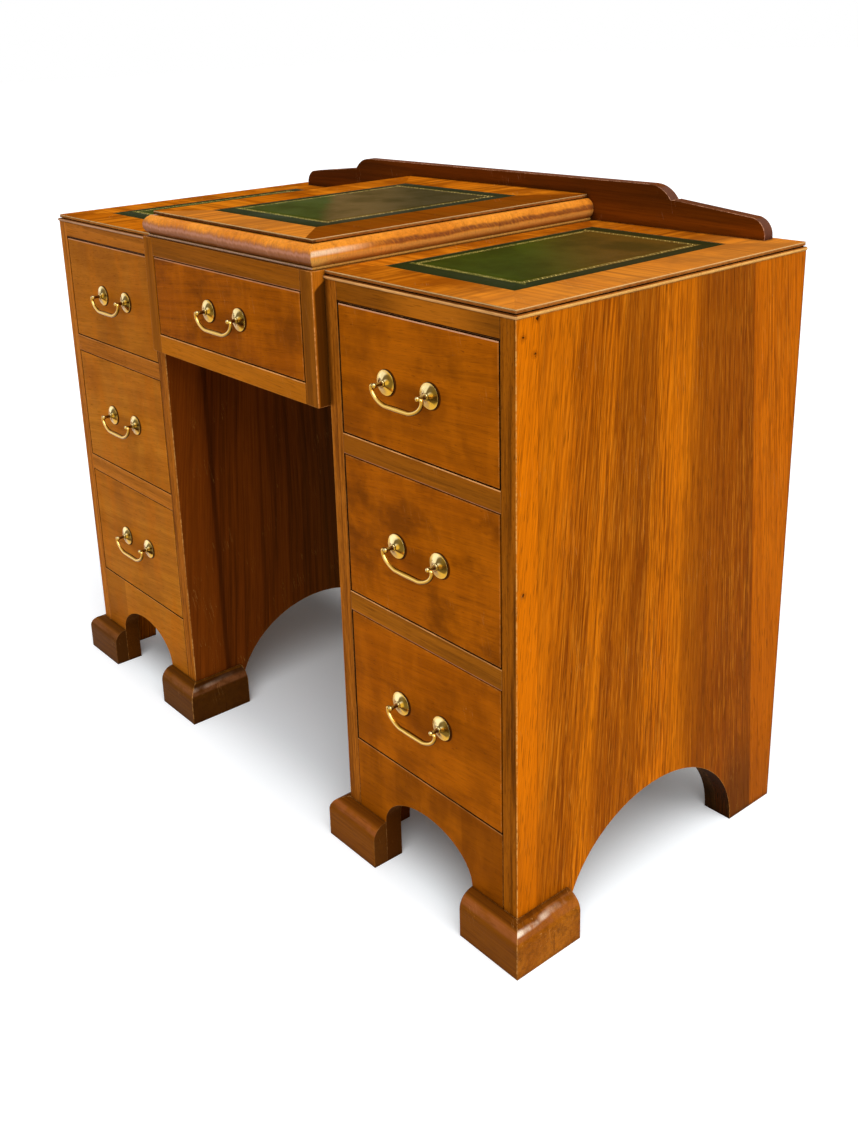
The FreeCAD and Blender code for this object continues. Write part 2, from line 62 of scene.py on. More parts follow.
def tint(red, green, blue):
    # a colour as seen on screen, 0 to 255, turned into the linear one that a shader takes
    def linear(part):
        share = part / 255
        return share / 12.92 if share <= 0.04045 else ((share + 0.055) / 1.055) ** 2.4

    return (linear(red), linear(green), linear(blue), 1.0)


# Small helpers for wiring shader nodes; a new node joins the tree of the sockets that it is given
def feed(socket, value):
    if isinstance(value, bpy.types.NodeSocket):
        socket.id_data.links.new(value, socket)
    else:
        socket.default_value = value


def feedAll(node, values):
    for label, value in values.items():
        feed(node.inputs[label], value)


def newNode(kind, values):
    tree = next(value.id_data for value in values if isinstance(value, bpy.types.NodeSocket))
    return tree.nodes.new(kind)


def operate(kind, operation, values):
    node = newNode(kind, values)
    node.operation = operation
    for socket, value in zip(node.inputs, values):
        feed(socket, value)
    return node


def maths(operation, *values):
    return operate("ShaderNodeMath", operation, values).outputs[0]


def vectorMaths(operation, *values):
    node = operate("ShaderNodeVectorMath", operation, values)
    return node.outputs["Value"] if operation in ("DOT_PRODUCT", "DISTANCE") else node.outputs[0]


plus, minus, over = partial(maths, "ADD"), partial(maths, "SUBTRACT"), partial(maths, "DIVIDE")
timesPlus, unsigned = partial(maths, "MULTIPLY_ADD"), partial(maths, "ABSOLUTE")
isOver, isUnder = partial(maths, "GREATER_THAN"), partial(maths, "LESS_THAN")


def times(*values):
    return reduce(partial(maths, "MULTIPLY"), values)


def larger(*values):
    return reduce(partial(maths, "MAXIMUM"), values)


def inverse(value):
    return minus(1.0, value)


def apart(first, second):
    return unsigned(minus(first, second))


def between(value, low, high):
    # 0 at low and 1 at high, eased at both ends
    node = newNode("ShaderNodeMapRange", (value, low, high))
    node.interpolation_type = "SMOOTHSTEP"
    feedAll(node, {"Value": value, "From Min": low, "From Max": high})
    return node.outputs[0]


def level(value, low, high):
    # a 0 to 1 value spread from low to high
    return timesPlus(value, high - low, low)


def around(value, middle, halfWidth, soft):
    # 1 within halfWidth of middle, falling to 0 over soft
    return between(apart(value, middle), halfWidth + soft, halfWidth)


def cloud(place, stretch, detail=2.0, roughness=0.5, output="Fac"):
    # noise with its own scale along each axis, or one for all three
    scales = stretch if isinstance(stretch, tuple) else (stretch, stretch, stretch)
    stretched = vectorMaths("MULTIPLY", place, scales)
    node = newNode("ShaderNodeTexNoise", [stretched])
    feedAll(node, {"Vector": stretched, "Scale": 1.0, "Detail": detail, "Roughness": roughness})
    return node.outputs[output]


def blend(factor, first, second):
    node = newNode("ShaderNodeMix", (factor, first, second))
    node.data_type = "RGBA"
    for place, value in ((0, factor), (6, first), (7, second)):
        feed(node.inputs[place], value)
    return node.outputs[2]


def paint(colour, tone, *masks):
    # the tone laid over the colour, as far as the masks let it through
    return blend(times(*masks), colour, tone)


def split(vector):
    node = newNode("ShaderNodeSeparateXYZ", [vector])
    feed(node.inputs[0], vector)
    return tuple(node.outputs)


def combine(x, y, z):
    node = newNode("ShaderNodeCombineXYZ", (x, y, z))
    for socket, value in zip(node.inputs, (x, y, z)):
        feed(socket, value)
    return node.outputs[0]


def objectPlace(tree):
    return tree.nodes.new("ShaderNodeTexCoord").outputs["Object"]


def axes(tree):
    return split(objectPlace(tree))


def patches(tree, *settings):
    return cloud(objectPlace(tree), *settings)


def restNormal(tree):
    # which way the surface faces when the desk is at rest; it turns with the piece
    turn = tree.nodes.new("ShaderNodeVectorTransform")
    turn.vector_type = "NORMAL"
    turn.convert_from, turn.convert_to = "WORLD", "OBJECT"
    feed(turn.inputs[0], tree.nodes.new("ShaderNodeNewGeometry").outputs["Normal"])
    return split(turn.outputs[0])


def facingFront(tree):
    return between(restNormal(tree)[1], -0.6, -0.9)


def facingSide(tree, low, high):
    return between(unsigned(restNormal(tree)[0]), low, high)


socketKinds = {"Place": "NodeSocketVector", "Normal": "NodeSocketVector"}
socketKinds.update(dict.fromkeys(("Colour", "Panel", "Pale", "Dark", "Dust"), "NodeSocketColor"))


def newGroup(name, inputs, outputs):
    # sockets are given by their names; those not listed above are plain values
    group = bpy.data.node_groups.new(name, "ShaderNodeTree")
    for way, labels in (("INPUT", inputs), ("OUTPUT", outputs)):
        for label in labels:
            kind = socketKinds.get(label, "NodeSocketFloat")
            group.interface.new_socket(name=label, in_out=way, socket_type=kind)
    return group, group.nodes.new("NodeGroupInput").outputs, group.nodes.new("NodeGroupOutput").inputs


def useGroup(tree, group, **values):
    node = tree.nodes.new("ShaderNodeGroup")
    node.node_tree = group
    feedAll(node, values)
    return node.outputs


def makeGrain():
    # wood figure with X along the grain: broad bands, growth lines, dark streaks, fibres and pores
    group, given, made = newGroup(
        "woodGrain", ["Place", "Seed", "Sway"], ["Bands", "Lines", "Streaks", "Fibre", "Pores", "Height"])
    shift = combine(*[times(given["Seed"], step) for step in (7.3, 3.1, 5.7)])
    place = vectorMaths("ADD", given["Place"], shift)
    sway = cloud(place, (1.6, 4.0, 4.0), 1.0, output="Color")
    sway = vectorMaths("SUBTRACT", sway, (0.5, 0.5, 0.5))
    sways = combine(given["Sway"], given["Sway"], given["Sway"])
    place = vectorMaths("ADD", place, vectorMaths("MULTIPLY", sway, sways))
    bands = cloud(place, (0.8, 12.0, 12.0), 3.0, 0.55)
    lines = cloud(place, (2.0, 150.0, 150.0), 5.0, 0.68)
    streaks = cloud(place, (0.9, 52.0, 52.0), 4.0, 0.72)
    fibre = cloud(place, (11.0, 640.0, 640.0), 2.0)
    pores = between(cloud(place, (42.0, 980.0, 980.0), 1.0), 0.58, 0.70)
    feed(made["Bands"], between(bands, 0.34, 0.66))
    feed(made["Lines"], between(lines, 0.38, 0.66))
    feed(made["Streaks"], between(streaks, 0.52, 0.68))
    feed(made["Fibre"], fibre)
    feed(made["Pores"], pores)
    feed(made["Height"], minus(fibre, pores))
    return group


wearSettings = {"samples": 6, "grimeReach": 0.014, "scratchTurn": (0.5, 0.7, 0.9)}


def makeWornEdges():
    # rubbed corners, worn and with a painted highlight; grime with painted shade in the corners between
    # pieces; and a normal that rounds the edges
    group, given, made = newGroup("wornEdges", ["Place", "Width", "Arris"], ["Rubbed", "Grime", "Normal"])
    bevel = group.nodes.new("ShaderNodeBevel")
    bevel.samples = wearSettings["samples"]
    feed(bevel.inputs["Radius"], given["Width"])
    surface = group.nodes.new("ShaderNodeNewGeometry")
    facing = vectorMaths("DOT_PRODUCT", bevel.outputs[0], surface.outputs["Normal"])
    turned = between(inverse(facing), 0.004, 0.075)
    squareness = larger(*[unsigned(part) for part in restNormal(group)])
    turned = larger(turned, times(between(squareness, 0.97, 0.88), given["Arris"]))
    # dark where little of the surroundings is open: grime and painted shade
    shade = group.nodes.new("ShaderNodeAmbientOcclusion")
    shade.samples = wearSettings["samples"]
    shade.inputs["Distance"].default_value = wearSettings["grimeReach"]
    openness = shade.outputs["AO"]
    patchy = level(between(cloud(given["Place"], 42.0, 3.0, 0.65), 0.36, 0.56), 0.35, 1.0)
    dashes = level(between(cloud(given["Place"], 190.0, 2.0, 0.6), 0.40, 0.56), 0.3, 1.0)
    feed(made["Rubbed"], times(turned, between(openness, 0.35, 0.7), patchy, dashes))
    feed(made["Grime"], between(openness, 0.82, 0.30))
    feed(made["Normal"], bevel.outputs[0])
    return group


def makeHandling():
    # marks of use: cloudy dullness in the polish, a few thin scratches and small dents
    group, given, made = newGroup("handlingMarks", ["Place"], ["Dull", "Scratches", "Dents"])
    dull = cloud(given["Place"], 9.0, 4.0, 0.6)
    turn = group.nodes.new("ShaderNodeVectorRotate")
    turn.rotation_type = "EULER_XYZ"
    turn.inputs["Rotation"].default_value = wearSettings["scratchTurn"]
    feed(turn.inputs["Vector"], given["Place"])
    thin = around(cloud(turn.outputs[0], (14.0, 520.0, 14.0), 1.0), 0.62, 0.004, 0.006)
    some = between(cloud(given["Place"], 23.0, 2.0), 0.56, 0.66)
    dents = cloud(given["Place"], 85.0, 1.0)
    feed(made["Dull"], between(dull, 0.36, 0.68))
    feed(made["Scratches"], times(thin, some))
    feed(made["Dents"], between(dents, 0.70, 0.78))
    return group


def makeRipple():
    # marks of plain veneer: pale ripples across the grain, cloudy blotches and dark flecks
    group, given, made = newGroup("veneerRipple", ["Place"], ["Ripple", "Blotch", "Flecks"])
    feed(made["Ripple"], between(cloud(given["Place"], (30.0, 1.0, 8.0), 3.0, 0.6), 0.40, 0.66))
    feed(made["Blotch"], between(cloud(given["Place"], (11.0, 1.0, 15.0), 4.0, 0.62), 0.44, 0.66))
    feed(made["Flecks"], between(cloud(given["Place"], (130.0, 1.0, 420.0), 2.0), 0.66, 0.76))
    return group


def makeFrontRub():
    # faces to the front in patches, where edges are rubbed and carry a painted highlight
    group, given, made = newGroup("frontRub", ["Place"], ["Rubbed"])
    patchy = level(between(cloud(given["Place"], 34.0, 3.0, 0.6), 0.36, 0.58), 0.45, 1.0)
    feed(made["Rubbed"], times(patchy, facingFront(group)))
    return group


woodGrain = makeGrain()
wornEdges = makeWornEdges()
handlingMarks = makeHandling()
veneerRipple = makeRipple()
frontRub = makeFrontRub()
print("shared node groups made")


def blankMaterial(name):
    material = bpy.data.materials.new(name)
    material.use_nodes = True
    tree = material.node_tree
    return material, tree, tree.nodes["Principled BSDF"]


def pieceSeed(tree):
    # every piece is cut from its own stretch of the board
    return times(tree.nodes.new("ShaderNodeObjectInfo").outputs["Random"], 9.0)


def alongX(tree):
    return objectPlace(tree)


def alongY(tree):
    x, y, z = axes(tree)
    return combine(y, x, z)


def alongZ(tree):
    x, y, z = axes(tree)
    return combine(z, y, x)


def polishedWood(name, look, change=None):
    # one polished wood; change may paint more over the colour before the wear goes on
    material, tree, shader = blankMaterial(name)
    figure = useGroup(tree, woodGrain, Place=look["grain"](tree), Seed=pieceSeed(tree), Sway=look["sway"])
    colour = blend(figure["Bands"], look["pale"], look["mid"])
    colour = paint(colour, look["dark"], figure["Lines"], look["lineDepth"])
    colour = paint(colour, look["dark"], figure["Streaks"], look["streakDepth"])
    if change:
        colour = change(tree, colour, figure)
    colour = paint(colour, look["dark"], between(figure["Fibre"], 0.34, 0.70), look["fibreDepth"])
    colour = paint(colour, look["pore"], figure["Pores"], look["poreDepth"])
    marks = useGroup(tree, handlingMarks, Place=objectPlace(tree))
    edges = useGroup(tree, wornEdges, Place=objectPlace(tree), Width=look["edgeWidth"], Arris=look["arris"])
    colour = paint(colour, look["worn"], marks["Scratches"], look["scratchDepth"])
    # rubbed edges: wear with a painted highlight
    rubbed = times(edges["Rubbed"], look["edgeDepth"])
    if look["spared"]:
        rubbed = times(rubbed, inverse(look["spared"](tree)))
    colour = paint(colour, look["worn"], rubbed)
    # grime and painted shade in corners and between pieces
    colour = paint(colour, look["grime"], edges["Grime"], look["grimeDepth"])
    rough = timesPlus(marks["Dull"], look["dullRough"], look["roughness"])
    bump = tree.nodes.new("ShaderNodeBump")
    feedAll(bump, {"Strength": look["relief"], "Distance": look["reliefDepth"],
                   "Height": minus(figure["Height"], marks["Dents"]), "Normal": edges["Normal"]})
    feedAll(shader, {"Base Color": colour, "Roughness": timesPlus(figure["Pores"], look["poreRough"], rough),
                     "Specular IOR Level": look["gloss"], "Normal": bump.outputs[0]})
    return material


def dress(material, *names):
    for name in names:
        for slot in nodes[name].material_slots:
            slot.material = material


def pair(name):
    return "left_" + name, "right_" + name


basicWood = {
    "grain": alongX, "sway": 0.03,
    "pale": tint(196, 108, 12), "mid": tint(176, 92, 8), "dark": tint(104, 52, 4),
    "pore": tint(80, 38, 4), "worn": tint(240, 176, 92), "grime": tint(30, 14, 2),
    "lineDepth": 0.34, "streakDepth": 0.28, "fibreDepth": 0.16, "poreDepth": 0.35,
    "edgeWidth": 0.0016, "edgeDepth": 0.7, "arris": 0.9, "grimeDepth": 0.85, "scratchDepth": 0.2,
    "roughness": 0.42, "dullRough": 0.10, "poreRough": 0.12, "gloss": 0.008,
    "relief": 0.10, "reliefDepth": 0.0004, "spared": None,  # spared: where no edge is rubbed
}


def likeBasic(**changes):
    return {**basicWood, **changes}


# The drawer openings, taken from a drawer and the clearances round it
openings = {"sideGap": 0.0020, "underGap": 0.0015, "overGap": 0.0015}
drawerLow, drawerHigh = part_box("right_middle_drawer_front")
pedestalMid = (drawerLow.x + drawerHigh.x) / 2
openingHalf = (drawerHigh.x - drawerLow.x) / 2 + openings["sideGap"]
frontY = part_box("right_outer_side")[0].y


def besideDrawers(x, reach):
    # 1 on the faces beside the drawers and as far as reach onto the panel's front edge
    fromMid = apart(unsigned(x), pedestalMid)
    return between(fromMid, openingHalf + reach, openingHalf + reach * 0.6)


def insideArris(tree):
    return times(besideDrawers(axes(tree)[0], 0.005), 0.8)


def underArch(tree):
    low = between(axes(tree)[2], sideLook["archTop"] + 0.01, sideLook["archTop"])
    return times(facingSide(tree, 0.6, 0.3), low)


def sparedSides(tree):
    # no rubbing beside the drawers and under the arch
    return larger(insideArris(tree), underArch(tree))


def fanPlace(tree):
    # upright grain that spreads to the front and the back lower down, measured from the front edge
    x, y, z = axes(tree)
    fall = minus(sideLook["fanTop"], z)
    spread = timesPlus(fall, sideLook["fanSpread"], 1.0)
    offCentre = minus(y, frontY + sideLook["fanCentre"])
    across = plus(over(offCentre, spread), sideLook["fanCentre"])
    return combine(z, across, x)


# Side panels: veneer that fans out downwards, with dark heartwood between a plain strip and a rear leaf
sideLook = likeBasic(
    grain=fanPlace, sway=0.02, lineDepth=0.10, streakDepth=0.08, fibreDepth=0.22, poreDepth=0.5,
    spared=sparedSides,
    pale=tint(226, 124, 4), mid=tint(212, 110, 4), dark=tint(122, 54, 2), heart=tint(130, 63, 5),
    gold=tint(244, 150, 34), strip=tint(230, 121, 2), rear=tint(210, 107, 3), leafDepth=0.9,
    stile=tint(166, 92, 11), stileDark=tint(98, 52, 5),
    fadedStile=tint(200, 118, 34), fadedStileDark=tint(150, 82, 18),
    fanTop=0.72, fanSpread=0.58, fanCentre=0.24, frontStrip=0.031, rearLeaf=0.377,
    threads=(((7.0, 380.0, 380.0), 0.50, 0.30), ((20.0, 760.0, 760.0), 0.55, 0.40)),
    growth=(((1.6, 52.0, 52.0), 0.007, 0.55), ((2.6, 105.0, 105.0), 0.011, 0.60),
            ((4.5, 190.0, 190.0), 0.015, 0.45)),
    heartBands=((0.112, 0.010, 0.020, 0.45), (0.180, 0.018, 0.020, 0.75), (0.332, 0.040, 0.036, 0.95)),
    marks=((0.0095, 0.721), (0.026, 0.702), (0.029, 0.737), (0.009, 0.452)), ragged=0.010,
    dullLow=((0.24, 0.09, 0.15, 0.08), (0.60, 0.12, 0.23, 0.29)), dullDepth=0.28,
    soffit=tint(38, 20, 4), legDirt=tint(88, 46, 8), archTop=0.135, rearLeg=0.084,
)


def heartwood(tree, across, lines):
    waver = patches(tree, (5.0, 9.0, 2.2), 3.0)
    across = timesPlus(minus(waver, 0.5), 0.035, across)
    bands = [times(around(across, middle, half, soft), depth)
             for middle, half, soft, depth in sideLook["heartBands"]]
    return times(larger(*bands), level(lines, 0.7, 1.05))


def makeStile():
    # the front edge of a panel, where upright solid wood shows, and its face beside the drawers painted dark
    # as shade in the gap
    group, given, made = newGroup("stileFace", ["Place", "Panel", "Pale", "Dark", "Dust"], ["Colour"])
    x, y, _ = split(given["Place"])
    lines = cloud(given["Place"], (230.0, 230.0, 7.0), 4.0, 0.65)
    stile = blend(between(lines, 0.40, 0.68), given["Pale"], given["Dark"])
    colour = paint(given["Panel"], stile, facingFront(group), between(y, frontY + 0.012, frontY + 0.006))
    inward = between(y, frontY + 0.06, frontY + 0.03)
    # painted shade in the gap beside the drawers
    feed(made["Colour"], paint(colour, given["Dust"], besideDrawers(x, 0.0005), inward))
    return group


stileFace = makeStile()


def withStile(tree, colour, pale, dark):
    return useGroup(tree, stileFace, Place=objectPlace(tree), Panel=colour, Pale=pale, Dark=dark,
                    Dust=drawerLook["edgeShade"])["Colour"]


def sideFigure(tree, colour, figure):
    look = sideLook
    place = fanPlace(tree)
    across = split(place)[1]
    y, z = axes(tree)[1:]
    colour = paint(colour, look["heart"], heartwood(tree, across, figure["Lines"]))
    stripEdge = frontY + look["frontStrip"]
    front = between(y, stripEdge + 0.0012, stripEdge - 0.0012)
    rear = between(across, look["rearLeaf"] - 0.0006, look["rearLeaf"] + 0.0006)
    colour = paint(colour, look["strip"], front, look["leafDepth"])
    colour = paint(colour, look["rear"], rear, look["leafDepth"])
    seam = larger(around(y, stripEdge, 0.0003, 0.0007), around(across, look["rearLeaf"], 0.0003, 0.0012))
    colour = paint(colour, look["dark"], seam, 0.45)
    busy = level(between(cloud(place, (1.3, 17.0, 17.0), 2.0), 0.38, 0.62), 0.5, 1.0)
    calm = inverse(times(larger(front, rear), 0.4))
    busy = times(busy, level(between(across, 0.05, 0.115), 0.5, 1.0), calm)
    for stretch, width, depth in look["growth"]:  # thin dark growth lines
        ridge = around(cloud(place, stretch, 2.0, 0.6), 0.5, width, width * 2.5)
        colour = paint(colour, look["dark"], ridge, busy, depth)
    for stretch, darkDepth, goldDepth in look["threads"]:  # dark and golden threads, long and short
        thread = cloud(place, stretch, 3.0, 0.6)
        colour = paint(colour, look["dark"], between(thread, 0.55, 0.63), busy, darkDepth)
        colour = paint(colour, look["gold"], between(thread, 0.44, 0.36), busy, goldDepth)
    dull = [times(between(z, top, bottom), between(across, begin, full))
            for top, bottom, begin, full in look["dullLow"]]
    colour = paint(colour, look["heart"], larger(*dull), look["dullDepth"])  # darker towards the floor
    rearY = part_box("right_outer_side")[1].y
    legFront = rearY - look["rearLeg"]
    # darker low down on the rear leg
    dirt = times(between(z, look["archTop"] + 0.02, 0.03), between(y, legFront - 0.03, legFront))
    colour = paint(colour, look["legDirt"], dirt, level(rear, 0.7, 0.25))
    # painted shade along the rear edge
    colour = paint(colour, look["dark"], between(y, rearY - 0.003, rearY - 0.001), 0.6)
    # painted shade under the arch
    colour = paint(colour, look["soffit"], underArch(tree))
    ragged = patches(tree, 330.0, 3.0, 0.7, "Color")
    ragged = vectorMaths("MULTIPLY", ragged, (0.0, look["ragged"], look["ragged"]))
    spot = vectorMaths("ADD", combine(0.0, y, z), ragged)
    shift = look["ragged"] / 2  # the ragged edge moves a spot by half of its reach
    for fromFront, height in look["marks"]:  # filled nail holes and a small knot
        away = vectorMaths("DISTANCE", spot, (0.0, frontY + fromFront + shift, height + shift))
        colour = paint(colour, look["dark"], between(away, 0.0065, 0.002), 0.4)
        colour = paint(colour, basicWood["grime"], between(away, 0.0021, 0.0012))
    return colour


def sideWithStile(pale, dark):
    def side(tree, colour, figure):
        return withStile(tree, sideFigure(tree, colour, figure), sideLook[pale], sideLook[dark])

    return side


# Kneehole sides: the same veneer painted dark as shade, and red as wood unfaded out of the light, redder in
# front of a dark seam
kneeLook = likeBasic(
    grain=fanPlace, sway=0.02, lineDepth=0.55, streakDepth=0.5, fibreDepth=0.3, edgeDepth=0.6,
    pale=tint(118, 55, 8), mid=tint(96, 41, 6), dark=tint(46, 17, 2),
    strip=tint(150, 72, 12), stripWidth=0.056, spared=insideArris,
    olive=tint(66, 46, 12), corner=tint(86, 42, 7), stile=tint(186, 106, 24), stileDark=tint(132, 70, 13),
)


def kneeFigure(tree, colour, figure):
    look = kneeLook
    x, y, z = axes(tree)
    stripEdge = frontY + look["stripWidth"]
    colour = paint(colour, look["strip"], between(y, stripEdge + 0.010, stripEdge - 0.016), 0.42)
    colour = paint(colour, look["dark"], around(y, stripEdge + 0.003, 0.0015, 0.005), 0.6)
    # painted shade, olive, towards the back
    colour = paint(colour, look["olive"], between(y, frontY + 0.10, frontY + 0.40), 0.5)
    colour = withStile(tree, colour, look["stile"], look["stileDark"])
    boxBottom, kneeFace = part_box("middle_sides")[0].z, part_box("right_inner_side")[0].x
    # painted shade in the corner below the drawer box
    corner = between(unsigned(x), kneeFace + 0.012, kneeFace + 0.004)
    return paint(colour, look["corner"], corner, between(z, boxBottom - 0.002, boxBottom + 0.004), 0.6)


# Drawer fronts: plain faded veneer whose grain climbs a little, with a faint ripple
grainClimb = 0.08


def slopingX(tree):
    x, y, z = axes(tree)
    return combine(x, y, timesPlus(x, -grainClimb, z))


drawerLook = likeBasic(
    grain=slopingX, sway=0.05, lineDepth=0.34, streakDepth=0.34, fibreDepth=0.14, poreDepth=0.25,
    edgeDepth=0.6, edgeWidth=0.0012, arris=0.1, worn=tint(226, 154, 80),
    pale=tint(184, 96, 3), mid=tint(173, 88, 2), dark=tint(116, 57, 2), ripple=tint(200, 107, 6),
    edgeShade=tint(40, 17, 2), plateRadius=0.0145, blotch=0.5, topTone=tint(236, 180, 142), topRubbed=0.0,
    fingersWide=0.040, fingersTall=0.020, fingersBelow=0.010, fingerDepth=0.4, endShade=0.4,
)


def drawerRipple(tree, colour, depth):
    marks = useGroup(tree, veneerRipple, Place=objectPlace(tree))
    colour = paint(colour, drawerLook["ripple"], marks["Ripple"], 0.4)
    colour = paint(colour, drawerLook["dark"], marks["Blotch"], depth)
    return paint(colour, basicWood["pore"], marks["Flecks"], 0.5)


def drawerVeneer(name, look):
    low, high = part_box(name + "_drawer_mounts")
    radius = look["plateRadius"]
    middleX, middleZ = (low.x + high.x) / 2, (low.z + high.z) / 2

    def usedFront(tree, colour, figure):
        colour = drawerRipple(tree, colour, look["blotch"])
        x, _, z = axes(tree)
        besides = over(minus(x, middleX), look["fingersWide"])
        below = over(minus(z, middleZ - look["fingersBelow"]), look["fingersTall"])
        fingers = between(vectorMaths("DISTANCE", combine(besides, 0.0, below), (0.0, 0.0, 0.0)), 1.15, 0.5)
        colour = paint(colour, look["dark"], fingers, look["fingerDepth"])  # painted shadow of the bail behind it, with finger grime
        for plateX in (low.x + radius, high.x - radius):  # painted shadow to the right of each plate, with polish that gathered there
            away = vectorMaths("DISTANCE", combine(x, 0.0, z), (plateX + 0.0025, 0.0, middleZ + 0.0003))
            colour = paint(colour, look["edgeShade"], between(away, radius + 0.0014, radius + 0.0002), 0.85)
        # a pale line along the drawer's top edge: wear with a painted highlight
        top = around(z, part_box(name + "_drawer_front")[1].z - 0.0008, 0.0004, 0.0005)
        colour = paint(colour, look["topTone"], top, look["topRubbed"])
        # painted shade on the drawer's ends, seen in the gaps
        return paint(colour, look["edgeShade"], facingSide(tree, 0.9, 0.97), look["endShade"])

    return polishedWood(name + "Veneer", look, usedFront)


def likeDrawer(**changes):
    return {**drawerLook, **changes}


fadedTones = {"pale": tint(198, 121, 29), "mid": tint(186, 109, 22), "dark": tint(138, 76, 14), "blotch": 0.3}
fadedLook = likeDrawer(**fadedTones)
drawerLooks = {
    "left_top": likeDrawer(**fadedTones, topRubbed=0.5),
    "left_middle": fadedLook,
    "left_bottom": fadedLook,
    "right_top": likeDrawer(topRubbed=0.8, endShade=1.0),  # less painted shade at the ends of the two below it
    "right_middle": likeDrawer(grimeDepth=0.4, blotch=0.8, streakDepth=0.45, endShade=0.1),
    "right_bottom": likeDrawer(grimeDepth=0.4, endShade=0.1),
    "middle": likeDrawer(pale=tint(178, 93, 3), mid=tint(163, 82, 2), dark=tint(98, 46, 2),
                         streakDepth=0.55, blotch=0.75, topRubbed=0.4, endShade=0.7),
}
drawerNames = list(drawerLooks)
for name, look in drawerLooks.items():
    dress(drawerVeneer(name, look), name + "_drawer_front")

fadedSide = sideWithStile("fadedStile", "fadedStileDark")
dress(polishedWood("sideVeneer", sideLook, sideWithStile("stile", "stileDark")), "right_outer_side")
dress(polishedWood("fadedSideVeneer", sideLook, fadedSide), "left_outer_side")
dress(polishedWood("kneeholeVeneer", kneeLook, kneeFigure), *pair("inner_side"))

# Rails, aprons, box sides, leg linings
railLook = likeBasic(
    pale=tint(178, 104, 20), mid=tint(157, 87, 12), dark=tint(94, 51, 7), worn=tint(226, 150, 80),
    lineDepth=0.5, streakDepth=0.4, edgeDepth=0.3, edgeWidth=0.0018,
    shaded=tint(70, 34, 4), rubbedReturn=tint(214, 122, 24), topLine=tint(255, 184, 116),
    underLine=tint(206, 136, 100), fadedLow=tint(218, 126, 18), fadedTop=tint(226, 130, 26), leafFrom=0.0615,
)


def railLines(drawers, strength):
    # the top edge of a rail below each drawer, painted pale as wear with a painted highlight, and a fainter
    # one above the drawer
    def lines(tree, colour, figure):
        z = axes(tree)[2]
        patchy = times(useGroup(tree, frontRub, Place=objectPlace(tree))["Rubbed"], strength)
        for drawer in drawers:
            low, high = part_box(drawer + "_drawer_front")
            top = around(z, low.z - openings["underGap"] - 0.0006, 0.0005, 0.0005)
            colour = paint(colour, railLook["topLine"], top, patchy)
            if drawer.endswith("_top"):  # these two have dropped, and painted shade marks the gap above them
                gap = around(z, high.z + openings["overGap"] + 0.0007, 0.0009, 0.0004)
                colour = paint(colour, drawerLook["edgeShade"], gap, facingFront(tree))
                continue
            under = around(z, high.z + openings["overGap"] + 0.0004, 0.0003, 0.0005)
            colour = paint(colour, railLook["underLine"], under, patchy, 0.7)
        return colour

    return lines


def boxRails(tree, colour, figure):
    # the rail below the middle drawer has faded
    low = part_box("middle_drawer_front")[0]
    z = axes(tree)[2]
    colour = paint(colour, railLook["fadedLow"], between(z, low.z, low.z - 0.001), 0.5)
    return railLines(["middle"], 0.8)(tree, colour, figure)


def rightRails(tree, colour, figure):
    # the rail above the top drawer has faded in the middle and darkened at its ends
    x, _, z = axes(tree)
    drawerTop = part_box("right_top_drawer_front")[1].z
    above = between(z, drawerTop, drawerTop + 0.001)
    middle = around(x, pedestalMid + openingHalf * 0.25, openingHalf * 0.15, openingHalf * 0.6)
    colour = paint(colour, railLook["dark"], above, 0.22)
    colour = paint(colour, railLook["fadedTop"], above, middle, 0.5)
    return railLines(rightRows, 0.9)(tree, colour, figure)


def insideBoxArris(tree):
    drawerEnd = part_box("middle_drawer_front")[1].x
    return between(unsigned(axes(tree)[0]), drawerEnd + 0.007, drawerEnd + 0.004)


def shadedReturns(tree, colour, figure):
    # the returns of the drawer box are painted dark as shade, with a painted patch of light towards the front
    # and the top
    low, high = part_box("middle_sides")
    y, z = axes(tree)[1:]
    sideways = facingSide(tree, 0.8, 0.95)
    reach = timesPlus(between(z, high.z - 0.026, high.z - 0.004), 0.022, low.y + 0.0012)
    rubbed = between(minus(y, reach), 0.003, -0.001)
    colour = paint(colour, railLook["shaded"], sideways, 0.85)
    return paint(colour, railLook["rubbedReturn"], sideways, rubbed, 0.8)


def archedApron(drawer, blotch, strength):
    # the edge of the apron's arch is painted dark as shade
    def arch(tree, colour, figure):
        colour = drawerRipple(tree, colour, blotch)
        colour = railLines([drawer], strength)(tree, colour, figure)
        fromMid = minus(unsigned(axes(tree)[0]), pedestalMid)
        leafFrom = railLook["leafFrom"]
        leaf = between(fromMid, leafFrom, leafFrom + 0.001)  # the last stretch is of a darker leaf
        colour = paint(colour, drawerLook["dark"], leaf, 0.32)
        joint = around(unsigned(fromMid), openingHalf, 0.0004, 0.0008)
        colour = paint(colour, drawerLook["edgeShade"], joint, 0.8)
        # painted shade on the arch's edge
        return paint(colour, railLook["shaded"], between(restNormal(tree)[1], -0.6, -0.3))

    return arch


fadedRail = {**railLook, "pale": tint(196, 116, 32), "mid": tint(180, 102, 24), "dark": tint(122, 66, 12)}
